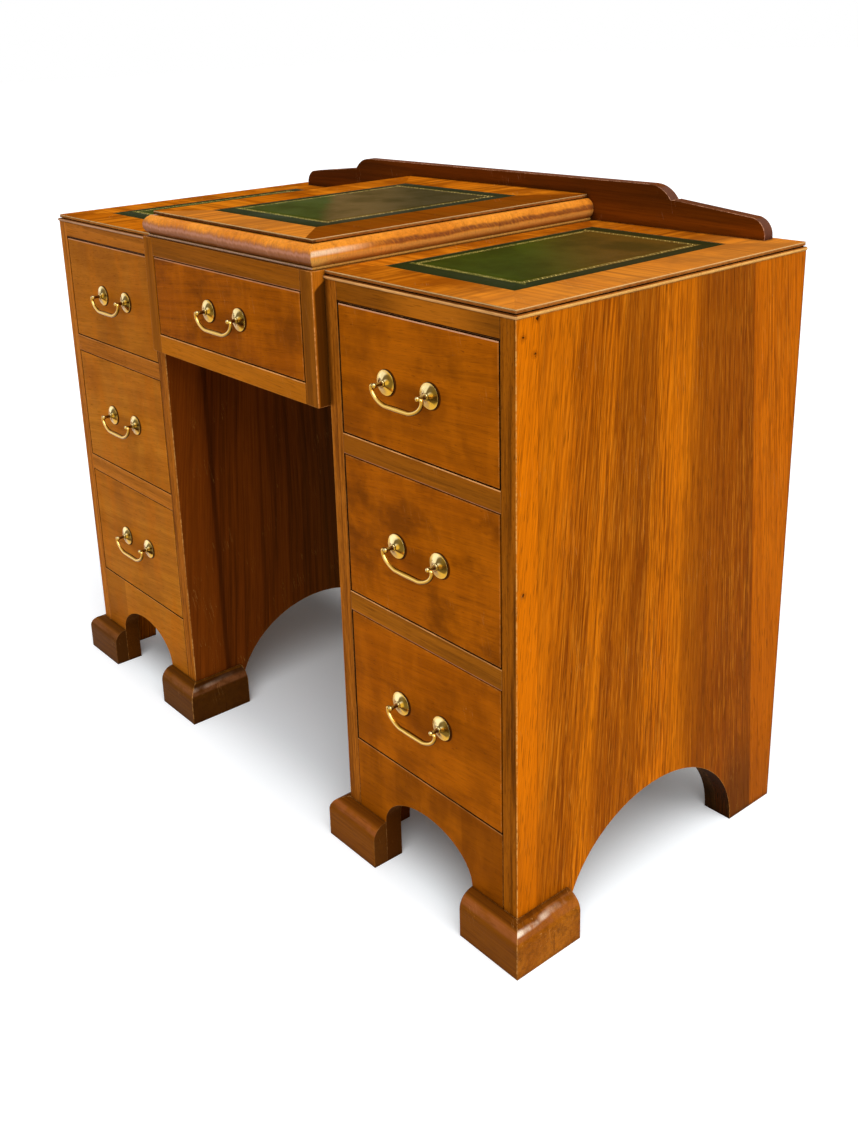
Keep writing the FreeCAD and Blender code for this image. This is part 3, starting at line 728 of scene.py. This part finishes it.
# the rear leg linings, deep under the arch, are painted dark as shade
liningLook = {**railLook, "grain": alongZ, "edgeDepth": 0.1,
              "pale": tint(58, 33, 9), "mid": tint(44, 24, 6), "dark": tint(28, 15, 3)}
uprightLook = {**railLook, "grain": alongZ, "edgeDepth": 0.9, "spared": insideBoxArris}
leftRows, rightRows = drawerNames[:3], drawerNames[3:6]
dress(polishedWood("railWalnut", railLook, rightRails), "right_rails")
dress(polishedWood("fadedRailWalnut", fadedRail, railLines(leftRows, 0.35)), "left_rails")
dress(polishedWood("boxRailWalnut", railLook, boxRails), "middle_rails")
dress(polishedWood("uprightWalnut", uprightLook, shadedReturns), "middle_sides")
dress(polishedWood("legLining", liningLook), "rear_leg_linings")
dress(polishedWood("fadedApron", fadedLook, archedApron("left_bottom", 0.2, 0.3)), "left_apron")
apronLook = likeDrawer(pale=tint(164, 87, 2), mid=tint(152, 79, 2))
dress(polishedWood("apronWalnut", apronLook, archedApron("right_bottom", 0.5, 0.35)), "right_apron")


# Feet: rounded tops with a painted sheen, gleam and shade, knocked about
def archEnds(tree):
    return times(besideDrawers(axes(tree)[0], 0.002), 0.8)


footLook = likeBasic(
    pale=tint(182, 106, 22), mid=tint(157, 86, 12), dark=tint(80, 38, 4), worn=tint(236, 172, 96),
    sheen=tint(160, 92, 52), gleam=tint(255, 232, 204), shade=tint(58, 26, 6), joint=tint(226, 160, 118),
    archEnd=tint(70, 37, 8), crack=0.038, gleamLength=0.055, gleamHeight=0.84, gleamClimb=0.12,
    gleamDepth=1.0, sideShade=0.0,
    streakDepth=0.4, scratchDepth=0.25, edgeWidth=0.002, arris=0.0, grimeDepth=0.5,
    roughness=0.3, gloss=0.01, relief=0.25, spared=archEnds,
)


def roundedTops(look):
    # the quarter-round: painted shade against the panel, on the sides and on the front faces, a painted sheen
    # on its shoulder, a painted highlight along the joint and a painted gleam line on the sides; the arch
    # ends painted dark as shade
    def tops(tree, colour, figure):
        x, y, z = axes(tree)
        across, _, up = restNormal(tree)
        patchy = between(patches(tree, 34.0, 3.0, 0.6), 0.32, 0.62)
        onSide = isOver(across, 0.3)
        # painted shade on the sides, against the panel and on the front faces
        colour = paint(colour, look["shade"], onSide, look["sideShade"])
        colour = paint(colour, look["shade"], between(up, 0.66, 0.9), level(onSide, 0.6, 0.3))
        colour = paint(colour, look["dark"], facingFront(tree), 0.5)
        # a painted sheen on the shoulder and a painted highlight along the joint
        colour = paint(colour, look["sheen"], around(up, 0.58, 0.10, 0.18), level(patchy, 0.1, 0.6))
        colour = paint(colour, look["joint"], between(up, 0.965, 0.985), level(patchy, 0.3, 0.9), onSide)
        # a painted gleam line on the sides
        nearCorner = between(y, frontY + look["gleamLength"], frontY)
        height = timesPlus(nearCorner, -look["gleamClimb"], look["gleamHeight"])  # climbs towards the back
        gleam = times(around(minus(up, height), 0.0, 0.03, 0.12), isOver(across, 0.2))
        gleam = times(gleam, patchy, level(nearCorner, 0.15, 1.0))
        colour = paint(colour, look["gleam"], gleam, look["gleamDepth"])
        chips = between(patches(tree, (70.0, 120.0, 300.0), 4.0, 0.75), 0.63, 0.72)
        chips = times(chips, between(z, 0.018, 0.028), onSide, look["gleamDepth"])
        colour = paint(colour, look["worn"], chips, 0.4)
        crack = around(y, frontY + look["crack"], 0.0002, 0.0005)
        colour = paint(colour, look["shade"], crack, between(z, 0.034, 0.030), 0.6)
        # the arch ends painted dark as shade
        return paint(colour, look["archEnd"], isOver(unsigned(across), 0.8), besideDrawers(x, 0.002), 0.85)

    return tops


darkFeet = {**footLook, "pale": tint(152, 90, 16), "mid": tint(124, 70, 9), "dark": tint(66, 34, 5),
            "shade": tint(44, 19, 4), "sheen": tint(136, 84, 50), "gleamDepth": 0.15, "sideShade": 0.85}
dress(polishedWood("footWalnut", footLook, roundedTops(footLook)), "right_front_feet")
dress(polishedWood("darkFootWalnut", darkFeet, roundedTops(darkFeet)), "left_front_feet")

# Tops: boards with a bead lip below a dark groove, painted pale as wear and a painted highlight
boardLook = likeBasic(
    pale=tint(192, 114, 42), mid=tint(164, 90, 28), dark=tint(70, 34, 8), worn=tint(252, 212, 146),
    lip=tint(252, 194, 108), frontLip=tint(255, 188, 114), dullLip=tint(214, 164, 126), lipHeight=0.0042,
    edgeDepth=0.2, arris=0.0, grimeDepth=0.95, gloss=0.0,
)


def beadLip(tree, colour, figure):
    look = boardLook
    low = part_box("right_top_board")[0]
    lipTop = low.z + look["lipHeight"]
    x, y, z = axes(tree)
    front = between(y, low.y + 0.003, low.y + 0.0015)
    colour = paint(colour, look["dark"], front, 0.8)
    # the bead lip painted pale: wear with a painted highlight, paler on the front
    lip = times(between(z, lipTop - 0.0004, lipTop - 0.0012), between(z, low.z, low.z + 0.0008))
    tone = paint(blend(front, look["lip"], look["frontLip"]), look["dullLip"], between(x, 0.0, -0.01))
    return paint(colour, tone, lip, level(patches(tree, 30.0, 3.0, 0.65), 0.45, 1.1))


dress(polishedWood("topEdgeWalnut", boardLook, beadLip), *pair("top_board"), "middle_top_board")

# Cross-banded borders: short grain across each strip, in lengths of veneer with a seam between them
bandLook = likeBasic(
    pale=tint(236, 136, 24), mid=tint(208, 110, 10), dark=tint(126, 58, 5), worn=tint(255, 210, 142),
    sway=0.02, lineDepth=0.6, streakDepth=0.75, fibreDepth=0.08, poreDepth=0.10, edgeDepth=0.15,
    arris=0.0, gloss=0.0, pieceLength=0.105, stripApart=3.0, flame=tint(140, 68, 7),
    brownStrip=tint(104, 50, 6), slabEdge=tint(172, 100, 32), slabFront=tint(92, 50, 16),
    faded=tint(255, 174, 80), fadeStart=0.02, fadeLength=0.13,
)


def bandedBorder(name, side, brownSide, fadedFront, fadedOuter):
    look = bandLook
    low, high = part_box(side + "_leather")
    outerLow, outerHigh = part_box(side + "_top_border")
    middle, half = (low + high) / 2, (high - low) / 2

    def onSide(tree):
        x, y, _ = axes(tree)
        return isOver(minus(apart(x, middle.x), half.x), minus(apart(y, middle.y), half.y))

    def acrossStrip(tree):
        x, y, z = axes(tree)
        mix = tree.nodes.new("ShaderNodeMix")
        mix.data_type = "VECTOR"
        feed(mix.inputs[0], onSide(tree))
        feed(mix.inputs[4], combine(y, x, z))
        feed(mix.inputs[5], combine(x, plus(y, look["stripApart"]), z))
        return mix.outputs[1]

    def lengths(tree, colour, figure):
        run = over(split(acrossStrip(tree))[1], look["pieceLength"])
        which = tree.nodes.new("ShaderNodeTexWhiteNoise")
        which.noise_dimensions = "1D"
        feed(which.inputs["W"], maths("FLOOR", run))
        colour = paint(colour, look["dark"], which.outputs["Value"], 0.4)
        colour = paint(colour, look["pore"], around(maths("FRACT", run), 0.0, 0.003, 0.006), 0.4)
        x, y, z = axes(tree)
        colour = paint(colour, look["brownStrip"], onSide(tree), isOver(x, middle.x), brownSide)
        flame = patches(tree, (16.0, 16.0, 1.0), 3.0, 0.6)
        colour = paint(colour, look["flame"], between(flame, 0.47, 0.62), 0.65)
        inFront = times(isUnder(y, low.y), inverse(onSide(tree)), fadedFront)
        fadeFrom = middle.x + look["fadeStart"]
        outer = times(between(x, fadeFrom, fadeFrom + look["fadeLength"]), fadedOuter)
        colour = paint(colour, look["faded"], larger(inFront, outer))
        down = minus(outerHigh.z, z)
        front = between(y, outerLow.y + 0.0025, outerLow.y + 0.0012)
        edge = blend(front, look["slabFront" if side == "middle" else "slabEdge"], look["slabFront"])
        colour = paint(colour, edge, between(down, 0.0002, 0.0006))
        # the top arris: worn, with a painted highlight
        arris = around(down, 0.0011, 0.0003, 0.0004)
        return paint(colour, look["worn"], arris, level(patches(tree, 26.0, 3.0, 0.6), 0.35, 1.0))

    return polishedWood(name, {**look, "grain": acrossStrip}, lengths)


borderWear = {"left": (0.0, 0.0, 0.0), "right": (0.0, 0.0, 0.25), "middle": (0.8, 0.22, 0.0)}
for side, wear in borderWear.items():  # the brown strip, the faded front and the faded outer end
    dress(bandedBorder(side + "Banding", side, *wear), side + "_top_border")

# Cushion moulding: cross-grained, with painted shade and painted reflection on the belly in front, painted
# highlights on the lower half of the sides, the front corner and the fillet, and a dark broken streak along
# the sides
mouldingLook = likeBasic(
    grain=alongZ, pale=tint(250, 156, 50), mid=tint(234, 138, 40), dark=tint(154, 84, 20),
    belly=tint(162, 104, 74), bellyLow=tint(112, 60, 30), bellyShine=tint(206, 146, 122), bellyTop=0.69,
    streak=tint(110, 58, 38), streakAt=0.63, shine=tint(255, 218, 178), shineLength=0.10,
    fillet=tint(255, 212, 182), filletHeight=0.0025, lowTone=tint(255, 190, 92),
    lineDepth=0.3, streakDepth=0.3, edgeDepth=0.9, arris=0.0, grimeDepth=0.35, roughness=0.24, gloss=0.02,
)


def mouldingTones(tree, colour, figure):
    look = mouldingLook
    low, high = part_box("middle_moulding")
    x, y, z = axes(tree)
    height = over(minus(z, low.z), high.z - low.z)
    patchy = patches(tree, 18.0, 4.0, 0.6)
    offset = minus(patchy, 0.5)
    front = between(restNormal(tree)[1], -0.25, -0.4)
    onSide = inverse(front)
    drips = cloud(combine(timesPlus(z, 0.4, x), z, 0.0), (210.0, 16.0, 1.0), 3.0, 0.7)
    waver = timesPlus(minus(drips, 0.5), 0.30, timesPlus(offset, 0.35, height))
    # painted shade and painted reflection on the belly of the front run, with a painted highlight streak
    tone = blend(between(waver, 0.50, 0.15), look["belly"], look["bellyLow"])
    tone = paint(tone, look["bellyShine"], around(waver, 0.56, 0.02, 0.09), 0.6)
    colour = paint(colour, tone, front, between(waver, look["bellyTop"] + 0.16, look["bellyTop"] - 0.1), 0.9)
    # painted light on the lower half of the sides, where the shape faces down
    lowHalf = between(height, 0.58, 0.36)
    colour = paint(colour, look["lowTone"], lowHalf, onSide, level(patchy, 0.6, 1.1))
    lean = timesPlus(z, 0.9, y)  # short strokes that lean towards the back
    strokes = cloud(combine(lean, z, 0.0), (620.0, 90.0, 1.0), 2.0, 0.6)
    strokes = level(between(strokes, 0.36, 0.54), 0.35, 1.0)
    along = minus(y, low.y)
    streak = around(timesPlus(offset, 0.30, height), look["streakAt"], 0.05, 0.12)
    colour = paint(colour, look["streak"], streak, strokes, between(along, 0.05, 0.13), onSide, 0.85)
    # a painted highlight on the side near the front corner
    shineEnd = between(along, look["shineLength"], 0.02)
    colour = paint(colour, look["shine"], around(height, 0.66, 0.04, 0.12), shineEnd, onSide, 0.9)
    # a painted highlight along the fillet in front
    filletTop = low.z + look["filletHeight"]
    fillet = between(z, filletTop + 0.0002, filletTop - 0.0002)
    return paint(colour, look["fillet"], fillet, front, level(patchy, 0.75, 1.0))


dress(polishedWood("mouldingWalnut", mouldingLook, mouldingTones), "middle_moulding")

# Gallery: dark walnut with a painted sheen on its ends
galleryLook = likeBasic(
    pale=tint(138, 68, 8), mid=tint(90, 42, 8), dark=tint(54, 26, 4), worn=tint(240, 178, 138),
    end=tint(104, 70, 58), streakDepth=0.4, gloss=0.004, arris=0.0, edgeDepth=0.9,
)


def greyEnds(tree, colour, figure):
    # a painted sheen on the rounded ends and shoulders that face to the right
    return paint(colour, galleryLook["end"], between(restNormal(tree)[0], 0.25, 0.5), 0.8)


dress(polishedWood("galleryWalnut", galleryLook, greyEnds), "gallery")

# Plain secondary wood inside: drawer linings, runners, backs and stops
plainLook = likeBasic(
    pale=tint(184, 140, 88), mid=tint(164, 118, 70), dark=tint(122, 82, 46), pore=tint(110, 74, 42),
    worn=tint(206, 170, 124), roughness=0.62, gloss=0.1, edgeDepth=0.3, scratchDepth=0.1,
)
backLook = {**plainLook, "grain": alongZ, "pale": tint(150, 96, 48), "mid": tint(126, 78, 36),
            "dark": tint(84, 50, 22), "pore": tint(70, 42, 18), "worn": tint(180, 126, 74)}
liningWood = polishedWood("drawerLining", {**plainLook, "grain": alongY})
dress(liningWood, *[name + "_drawer_box" for name in drawerNames], *pair("runners"), "middle_runners")
dress(polishedWood("backBoards", backLook), *pair("back_panel"), "middle_back", "drawer_stops")
print("woods on")

# Brass handles and steel screws
brassLook = {
    "bright": tint(246, 222, 158), "gold": tint(212, 158, 48), "olive": tint(104, 78, 24),
    "dull": tint(170, 126, 48), "postShade": tint(84, 62, 22), "tarnish": tint(44, 26, 6),
    "bailBright": tint(240, 204, 120), "bailGold": tint(194, 140, 46), "edgeWidth": 0.0007,
    "roughness": 0.18, "dullRough": 0.08, "grimeRough": 0.4,
}


def leaning(x, across, z, up, cloudy):
    # how far a surface leans towards a direction in the plane of the drawer front, a little uneven
    return plus(plus(times(x, across), times(z, up)), cloudy)


def plateTones(x, y, z, cloudy):
    # turned plates with painted reflections: a painted highlight up and to the left, a painted olive
    # reflection up and to the right, golden below; posts painted dark
    look = brassLook
    leftDown = leaning(x, -0.7, z, -0.7, cloudy)
    rightUp = leaning(x, 0.92, z, 0.40, cloudy)
    leftUp = leaning(x, -0.3, z, 1.0, cloudy)
    colour = blend(times(between(leftDown, 0.08, 0.24), 0.8), look["gold"], look["dull"])
    colour = paint(colour, look["bright"], between(leftUp, 0.10, 0.27))
    colour = paint(colour, look["olive"], around(rightUp, 0.26, 0.06, 0.09), 0.95)
    post = times(between(unsigned(y), 0.62, 0.40), between(leftUp, 0.95, 0.75))
    return paint(colour, look["postShade"], post, 0.85)


def bailTones(x, y, z, cloudy):
    # the bail with painted light: a painted highlight along the top, golden in front, painted brown shade
    # underneath
    look = brassLook
    top = leaning(x, -0.4, z, 1.0, cloudy)
    colour = blend(between(top, -0.75, -0.15), look["olive"], look["bailGold"])
    colour = paint(colour, look["bailBright"], around(top, 0.34, 0.05, 0.26))
    return paint(colour, look["olive"], between(top, 0.66, 0.92), 0.8)


def polishedBrass(name, tones):
    look = brassLook
    material, tree, shader = blankMaterial(name)
    place = objectPlace(tree)
    marks = useGroup(tree, handlingMarks, Place=place)
    edges = useGroup(tree, wornEdges, Place=place, Width=look["edgeWidth"])
    cloudy = times(minus(cloud(place, 90.0), 0.5), 0.2)
    colour = tones(*restNormal(tree), cloudy)
    grime = times(edges["Grime"], 0.9)
    colour = paint(colour, look["tarnish"], grime)
    # rubbed edges: wear with a painted highlight
    colour = paint(colour, look["bright"], edges["Rubbed"], 0.4)
    rough = timesPlus(marks["Dull"], look["dullRough"], look["roughness"])
    feedAll(shader, {"Base Color": colour, "Metallic": 1.0, "Normal": edges["Normal"],
                     "Roughness": timesPlus(grime, look["grimeRough"], rough)})
    return material


dress(polishedBrass("plateBrass", plateTones), *[name + "_drawer_mounts" for name in drawerNames])
dress(polishedBrass("bailBrass", bailTones), *[name + "_drawer_bail" for name in drawerNames])

steelLook = {"pale": tint(150, 146, 140), "dark": tint(104, 98, 92), "smooth": 0.25, "rough": 0.55}


def dullSteel():
    look = steelLook
    material, tree, shader = blankMaterial("dullSteel")
    cloudy = patches(tree, 300.0, 3.0)
    feedAll(shader, {"Base Color": blend(cloudy, look["pale"], look["dark"]), "Metallic": 1.0,
                     "Roughness": level(cloudy, look["smooth"], look["rough"])})
    return material


dress(dullSteel(), "middle_screws")
print("metals on")

# Leather writing surfaces with a gilt tooled line, sunk a little into the skin
leatherLook = {
    "field": tint(62, 70, 6), "fieldDark": tint(44, 40, 10), "margin": tint(34, 38, 14),
    "gilt": tint(246, 214, 116), "giltShine": 0.5, "cutEdge": tint(120, 124, 96), "slant": 1.8,
    "toolStart": 0.020, "toolEnd": 0.029, "toolDepth": 0.00018, "toolStep": 0.0003, "edgeRound": 0.0007,
    "leftShift": -0.009, "frontShift": 0.009, "stampPitch": 0.0067, "lineInset": 0.0004,
    "across": 24, "along": 36, "swell": 0.00012, "swellScale": 26, "cellScale": 620.0, "relief": 0.18,
    "reliefDepth": 0.0003, "roughness": 0.5, "dullRough": 0.14, "gloss": 0.003,
}


def edgeSteps(across, along):
    # the steps of the grid along its edge, from the front left corner to the right and round
    steps = [(i, 0) for i in range(across)] + [(across, j) for j in range(along)]
    return steps + [(across - i, along) for i in range(across)] + [(0, along - j) for j in range(along)]


def toolFrame(low):
    # the tooled frame sits nearer to the left edge than to the front one
    return low + Vector((leatherLook["leftShift"], leatherLook["frontShift"], 0.0))


def leatherRings(high, lift):
    # inset and height of each ring, from the underside round the edge to inside the tooled line
    look = leatherLook
    edge, step, sunk = look["edgeRound"], look["toolStep"], high.z - look["toolDepth"]
    rim = [(0.0, high.z - lift), (0.0, high.z - edge), (edge * 0.3, high.z - edge * 0.3), (edge, high.z)]
    groove = [(look["toolStart"], sunk), (look["toolEnd"], sunk)]
    return rim + [(look["toolStart"] - step, high.z)] + groove + [(look["toolEnd"] + step, high.z)]


def leatherSkin(name, node):
    look = leatherLook
    low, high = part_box(node)
    across, along = look["across"], look["along"]
    steps = edgeSteps(across, along)
    mesh = bmesh.new()
    rings = []
    for inset, z in leatherRings(high, high.z - low.z):
        corner = toolFrame(low) if inset > look["edgeRound"] else low
        x0, x1, y0, y1 = corner.x + inset, high.x - inset, corner.y + inset, high.y - inset
        points = [(x0 + (x1 - x0) * i / across, y0 + (y1 - y0) * j / along, z) for i, j in steps]
        rings.append([mesh.verts.new(point) for point in points])
    for outer, inner in zip(rings, rings[1:]):
        for i in range(len(steps)):
            j = (i + 1) % len(steps)
            mesh.faces.new((outer[i], outer[j], inner[j], inner[i]))
    mesh.faces.new(list(reversed(rings[0])))
    grid = dict(zip(steps, rings[-1]))
    start, end = grid[0, 0].co.copy(), grid[across, along].co.copy()
    for i in range(1, across):
        for j in range(1, along):
            x, y = start.x + (end.x - start.x) * i / across, start.y + (end.y - start.y) * j / along
            rise = noise.noise(Vector((x * look["swellScale"], y * look["swellScale"], 0.5)))
            grid[i, j] = mesh.verts.new((x, y, high.z - look["swell"] * (1 - rise) / 2))
    for i in range(across):
        for j in range(along):
            mesh.faces.new((grid[i, j], grid[i + 1, j], grid[i + 1, j + 1], grid[i, j + 1]))
    toolingMap(mesh, toolFrame(low), high)
    skin = addMesh(name, mesh)
    skin.data.shade_smooth()
    return skin


def addMesh(name, mesh):
    data = bpy.data.meshes.new(name)
    mesh.to_mesh(data)
    mesh.free()
    item = bpy.data.objects.new(name, data)
    scene.collection.objects.link(item)
    return item


def toolingMap(mesh, low, high):
    # a map that runs along the nearest edge of the tooled frame and in from it, in metres
    def reach(at):
        return {"left": at.x - low.x, "right": high.x - at.x, "front": at.y - low.y, "back": high.y - at.y}

    layer = mesh.loops.layers.uv.new("tooling")
    for face in mesh.faces:
        away = reach(face.calc_center_median())
        side = min(away, key=away.get)
        for loop in face.loops:
            at = loop.vert.co
            loop[layer].uv = (at.y if side in ("left", "right") else at.x, reach(at)[side])


def tooledBorder(along, inward):
    # two fine lines with a running scroll and dots between them
    look = leatherLook
    middle, half = (look["toolStart"] + look["toolEnd"]) / 2, (look["toolEnd"] - look["toolStart"]) / 2
    edges = (look["toolStart"] + look["lineInset"], look["toolEnd"] - look["lineInset"])
    lines = larger(*[around(inward, edge, 0.00025, 0.0003) for edge in edges])
    turn = times(along, 2 * math.pi / look["stampPitch"])
    beat = maths("COSINE", turn)
    scroll, dots = [around(minus(inward, timesPlus(maths("SINE", turn), swing, middle)), 0.0, 0.0006, 0.0005)
                    for swing in (half * 0.45, -half * 0.45)]
    scroll = times(scroll, level(between(beat, -0.4, 0.2), 0.3, 1.0))
    return larger(times(lines, 0.15), scroll, times(dots, between(unsigned(beat), 0.45, 0.2)))


def giltLeather(name, node, brownFrom, brownTo, brown, dimmed):
    # green hide with a painted brown reflection, from brownFrom to brownTo on a slant across it
    look = leatherLook
    low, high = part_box(node)
    material, tree, shader = blankMaterial(name)
    place = objectPlace(tree)
    x, y, _ = split(place)
    lay = tree.nodes.new("ShaderNodeUVMap")
    lay.uv_map = "tooling"
    along, inward, _ = split(lay.outputs[0])
    cloudy = cloud(place, 9.0, 4.0, 0.6)
    share = over(minus(x, low.x), high.x - low.x)
    deep = over(minus(y, low.y), high.y - low.y)
    share = timesPlus(deep, look["slant"], share)
    share = timesPlus(minus(cloudy, 0.5), 0.3, share)
    colour = blend(between(share, brownFrom, brownTo), look["field"], brown)
    colour = paint(colour, look["fieldDark"], between(share, brownTo + 0.1, brownTo + 0.9), dimmed)
    colour = paint(colour, look["fieldDark"], between(cloudy, 0.42, 0.66), 0.5)
    colour = paint(colour, look["margin"], between(cloud(place, 900.0), 0.45, 0.75), 0.3)
    margin = between(inward, look["toolStart"] + 0.001, look["toolStart"] - 0.001)
    colour = paint(colour, look["margin"], margin, 0.85)
    middle, half = (low + high) / 2, (high - low) / 2
    fromSide = minus(half.x, apart(x, middle.x))
    fromEnd = minus(half.y, apart(y, middle.y))
    # a painted highlight along the leather's cut edge
    cut = between(maths("MINIMUM", fromSide, fromEnd), 0.0016, 0.0006)
    colour = paint(colour, look["cutEdge"], cut, 0.8)
    rubbed = between(cloud(place, 160.0, 3.0, 0.7), 0.38, 0.56)
    gilt = times(tooledBorder(along, inward), level(rubbed, 0.15, 1.0))
    colour = paint(colour, look["gilt"], gilt)
    cells = tree.nodes.new("ShaderNodeTexVoronoi")
    cells.feature = "DISTANCE_TO_EDGE"
    feedAll(cells, {"Vector": place, "Scale": look["cellScale"]})
    bump = tree.nodes.new("ShaderNodeBump")
    feedAll(bump, {"Strength": look["relief"], "Distance": look["reliefDepth"],
                   "Height": between(cells.outputs["Distance"], 0.0, 0.35)})
    marks = useGroup(tree, handlingMarks, Place=place)
    feedAll(shader, {"Base Color": colour, "Metallic": times(gilt, look["giltShine"]),
                     "Roughness": timesPlus(marks["Dull"], look["dullRough"], look["roughness"]),
                     "Specular IOR Level": look["gloss"], "Normal": bump.outputs[0]})
    return material


hideTones = {"left": (1.3, 2.0, tint(98, 72, 20), 0.0), "right": (1.0, 1.9, tint(98, 67, 18), 0.0),
             "middle": (0.98, 1.14, tint(103, 79, 35), 0.75)}
for side, tones in hideTones.items():  # where the painted brown reflection starts and is full, its tone, how far it dims beyond it
    node = side + "_leather"
    skin = leatherSkin(side + "LeatherSkin", node)
    skin.data.materials.append(giltLeather(side + "Leather", node, *tones))
    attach(skin, "carcass")
    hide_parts(node)
print("leather laid")

# Floor, world and sun
stageLook = {
    "floorSize": 60.0, "floorTint": (0.93, 0.97, 1.0, 1.0), "bounceTint": tint(236, 236, 236),
    "floorRough": 0.9, "liftUnder": 0.0, "liftAround": 0.30, "liftFrom": -0.12, "liftTo": 0.04,
    "worldLight": 0.30, "sunStrength": 2.8, "sunAzimuth": 64.0, "sunElevation": 55.0, "sunSpread": 60.0,
}


def seenDirectly(tree):
    # 1 for what the camera sees straight on, in a reflection or through something clear
    path = tree.nodes.new("ShaderNodeLightPath")
    return larger(*[path.outputs[ray] for ray in ("Is Camera Ray", "Is Glossy Ray", "Is Transmission Ray")])


def towards(azimuth, elevation):
    # a direction seen from the desk: azimuth from the front to the right, elevation above the floor
    turn, rise = math.radians(azimuth), math.radians(elevation)
    return Vector((math.sin(turn) * math.cos(rise), -math.cos(turn) * math.cos(rise), math.sin(rise)))


def makeFloor():
    look = stageLook
    half = look["floorSize"] / 2
    mesh = bmesh.new()
    corners = ((-half, -half, 0.0), (half, -half, 0.0), (half, half, 0.0), (-half, half, 0.0))
    mesh.faces.new([mesh.verts.new(corner) for corner in corners])
    floor = addMesh("studioFloor", mesh)
    material, tree, shader = blankMaterial("paleFloor")
    x, y, _ = axes(tree)
    outside = larger(minus(unsigned(x), cadHigh.x), minus(unsigned(y), cadHigh.y))
    outside = between(outside, look["liftFrom"], look["liftTo"])
    # lit up where it is seen, and whiter away from the desk
    lift = times(level(outside, look["liftUnder"], look["liftAround"]), seenDirectly(tree))
    feedAll(shader, {"Base Color": blend(seenDirectly(tree), look["bounceTint"], look["floorTint"]),
                     "Roughness": look["floorRough"], "Specular IOR Level": 0.0,
                     "Emission Color": combine(lift, lift, lift), "Emission Strength": 1.0})
    floor.data.materials.append(material)


def makeWorld():
    world = bpy.data.worlds.new("whiteStudio")
    world.use_nodes = True
    tree = world.node_tree
    feedAll(tree.nodes["Background"], {"Color": (1.0, 1.0, 1.0, 1.0),
                                       "Strength": level(seenDirectly(tree), stageLook["worldLight"], 1.0)})
    scene.world = world


def makeSun():
    # one wide soft light from the right, above and in front
    look = stageLook
    data = bpy.data.lights.new("softSun", "SUN")
    data.energy = look["sunStrength"]
    data.angle = math.radians(look["sunSpread"])
    sun = bpy.data.objects.new("softSun", data)
    sun.rotation_euler = towards(look["sunAzimuth"], look["sunElevation"]).to_track_quat("Z", "Y").to_euler()
    scene.collection.objects.link(sun)


makeFloor()
makeWorld()
makeSun()
print("stage lit")

# Camera at the photograph's viewpoint, placed from the pedestal fronts, with a lens shift for the framing
cameraView = {
    "place": (1.2925, -0.7902, 1.0055), "azimuth": 52.25, "elevation": 18.02, "roll": -2.35,
    "imageSize": (858, 1144), "focalPixels": 1213.3, "opticalCentre": (371.2, 423.4), "sensor": 36.0,
}


def makeCamera():
    view = cameraView
    wide, tall = view["imageSize"]
    data = bpy.data.cameras.new("photoCamera")
    data.sensor_width = view["sensor"]
    data.lens = view["focalPixels"] / tall * view["sensor"]
    data.shift_x = (wide / 2 - view["opticalCentre"][0]) / tall
    data.shift_y = (view["opticalCentre"][1] - tall / 2) / tall
    camera = bpy.data.objects.new("photoCamera", data)
    camera.location = Vector(view["place"]) + Vector((0.0, frontY, 0.0))
    camera.rotation_mode = "QUATERNION"
    upright = (-towards(view["azimuth"], view["elevation"])).to_track_quat("-Z", "Y")
    camera.rotation_quaternion = upright @ Quaternion((0.0, 0.0, 1.0), math.radians(view["roll"]))
    scene.collection.objects.link(camera)
    scene.camera = camera


makeCamera()
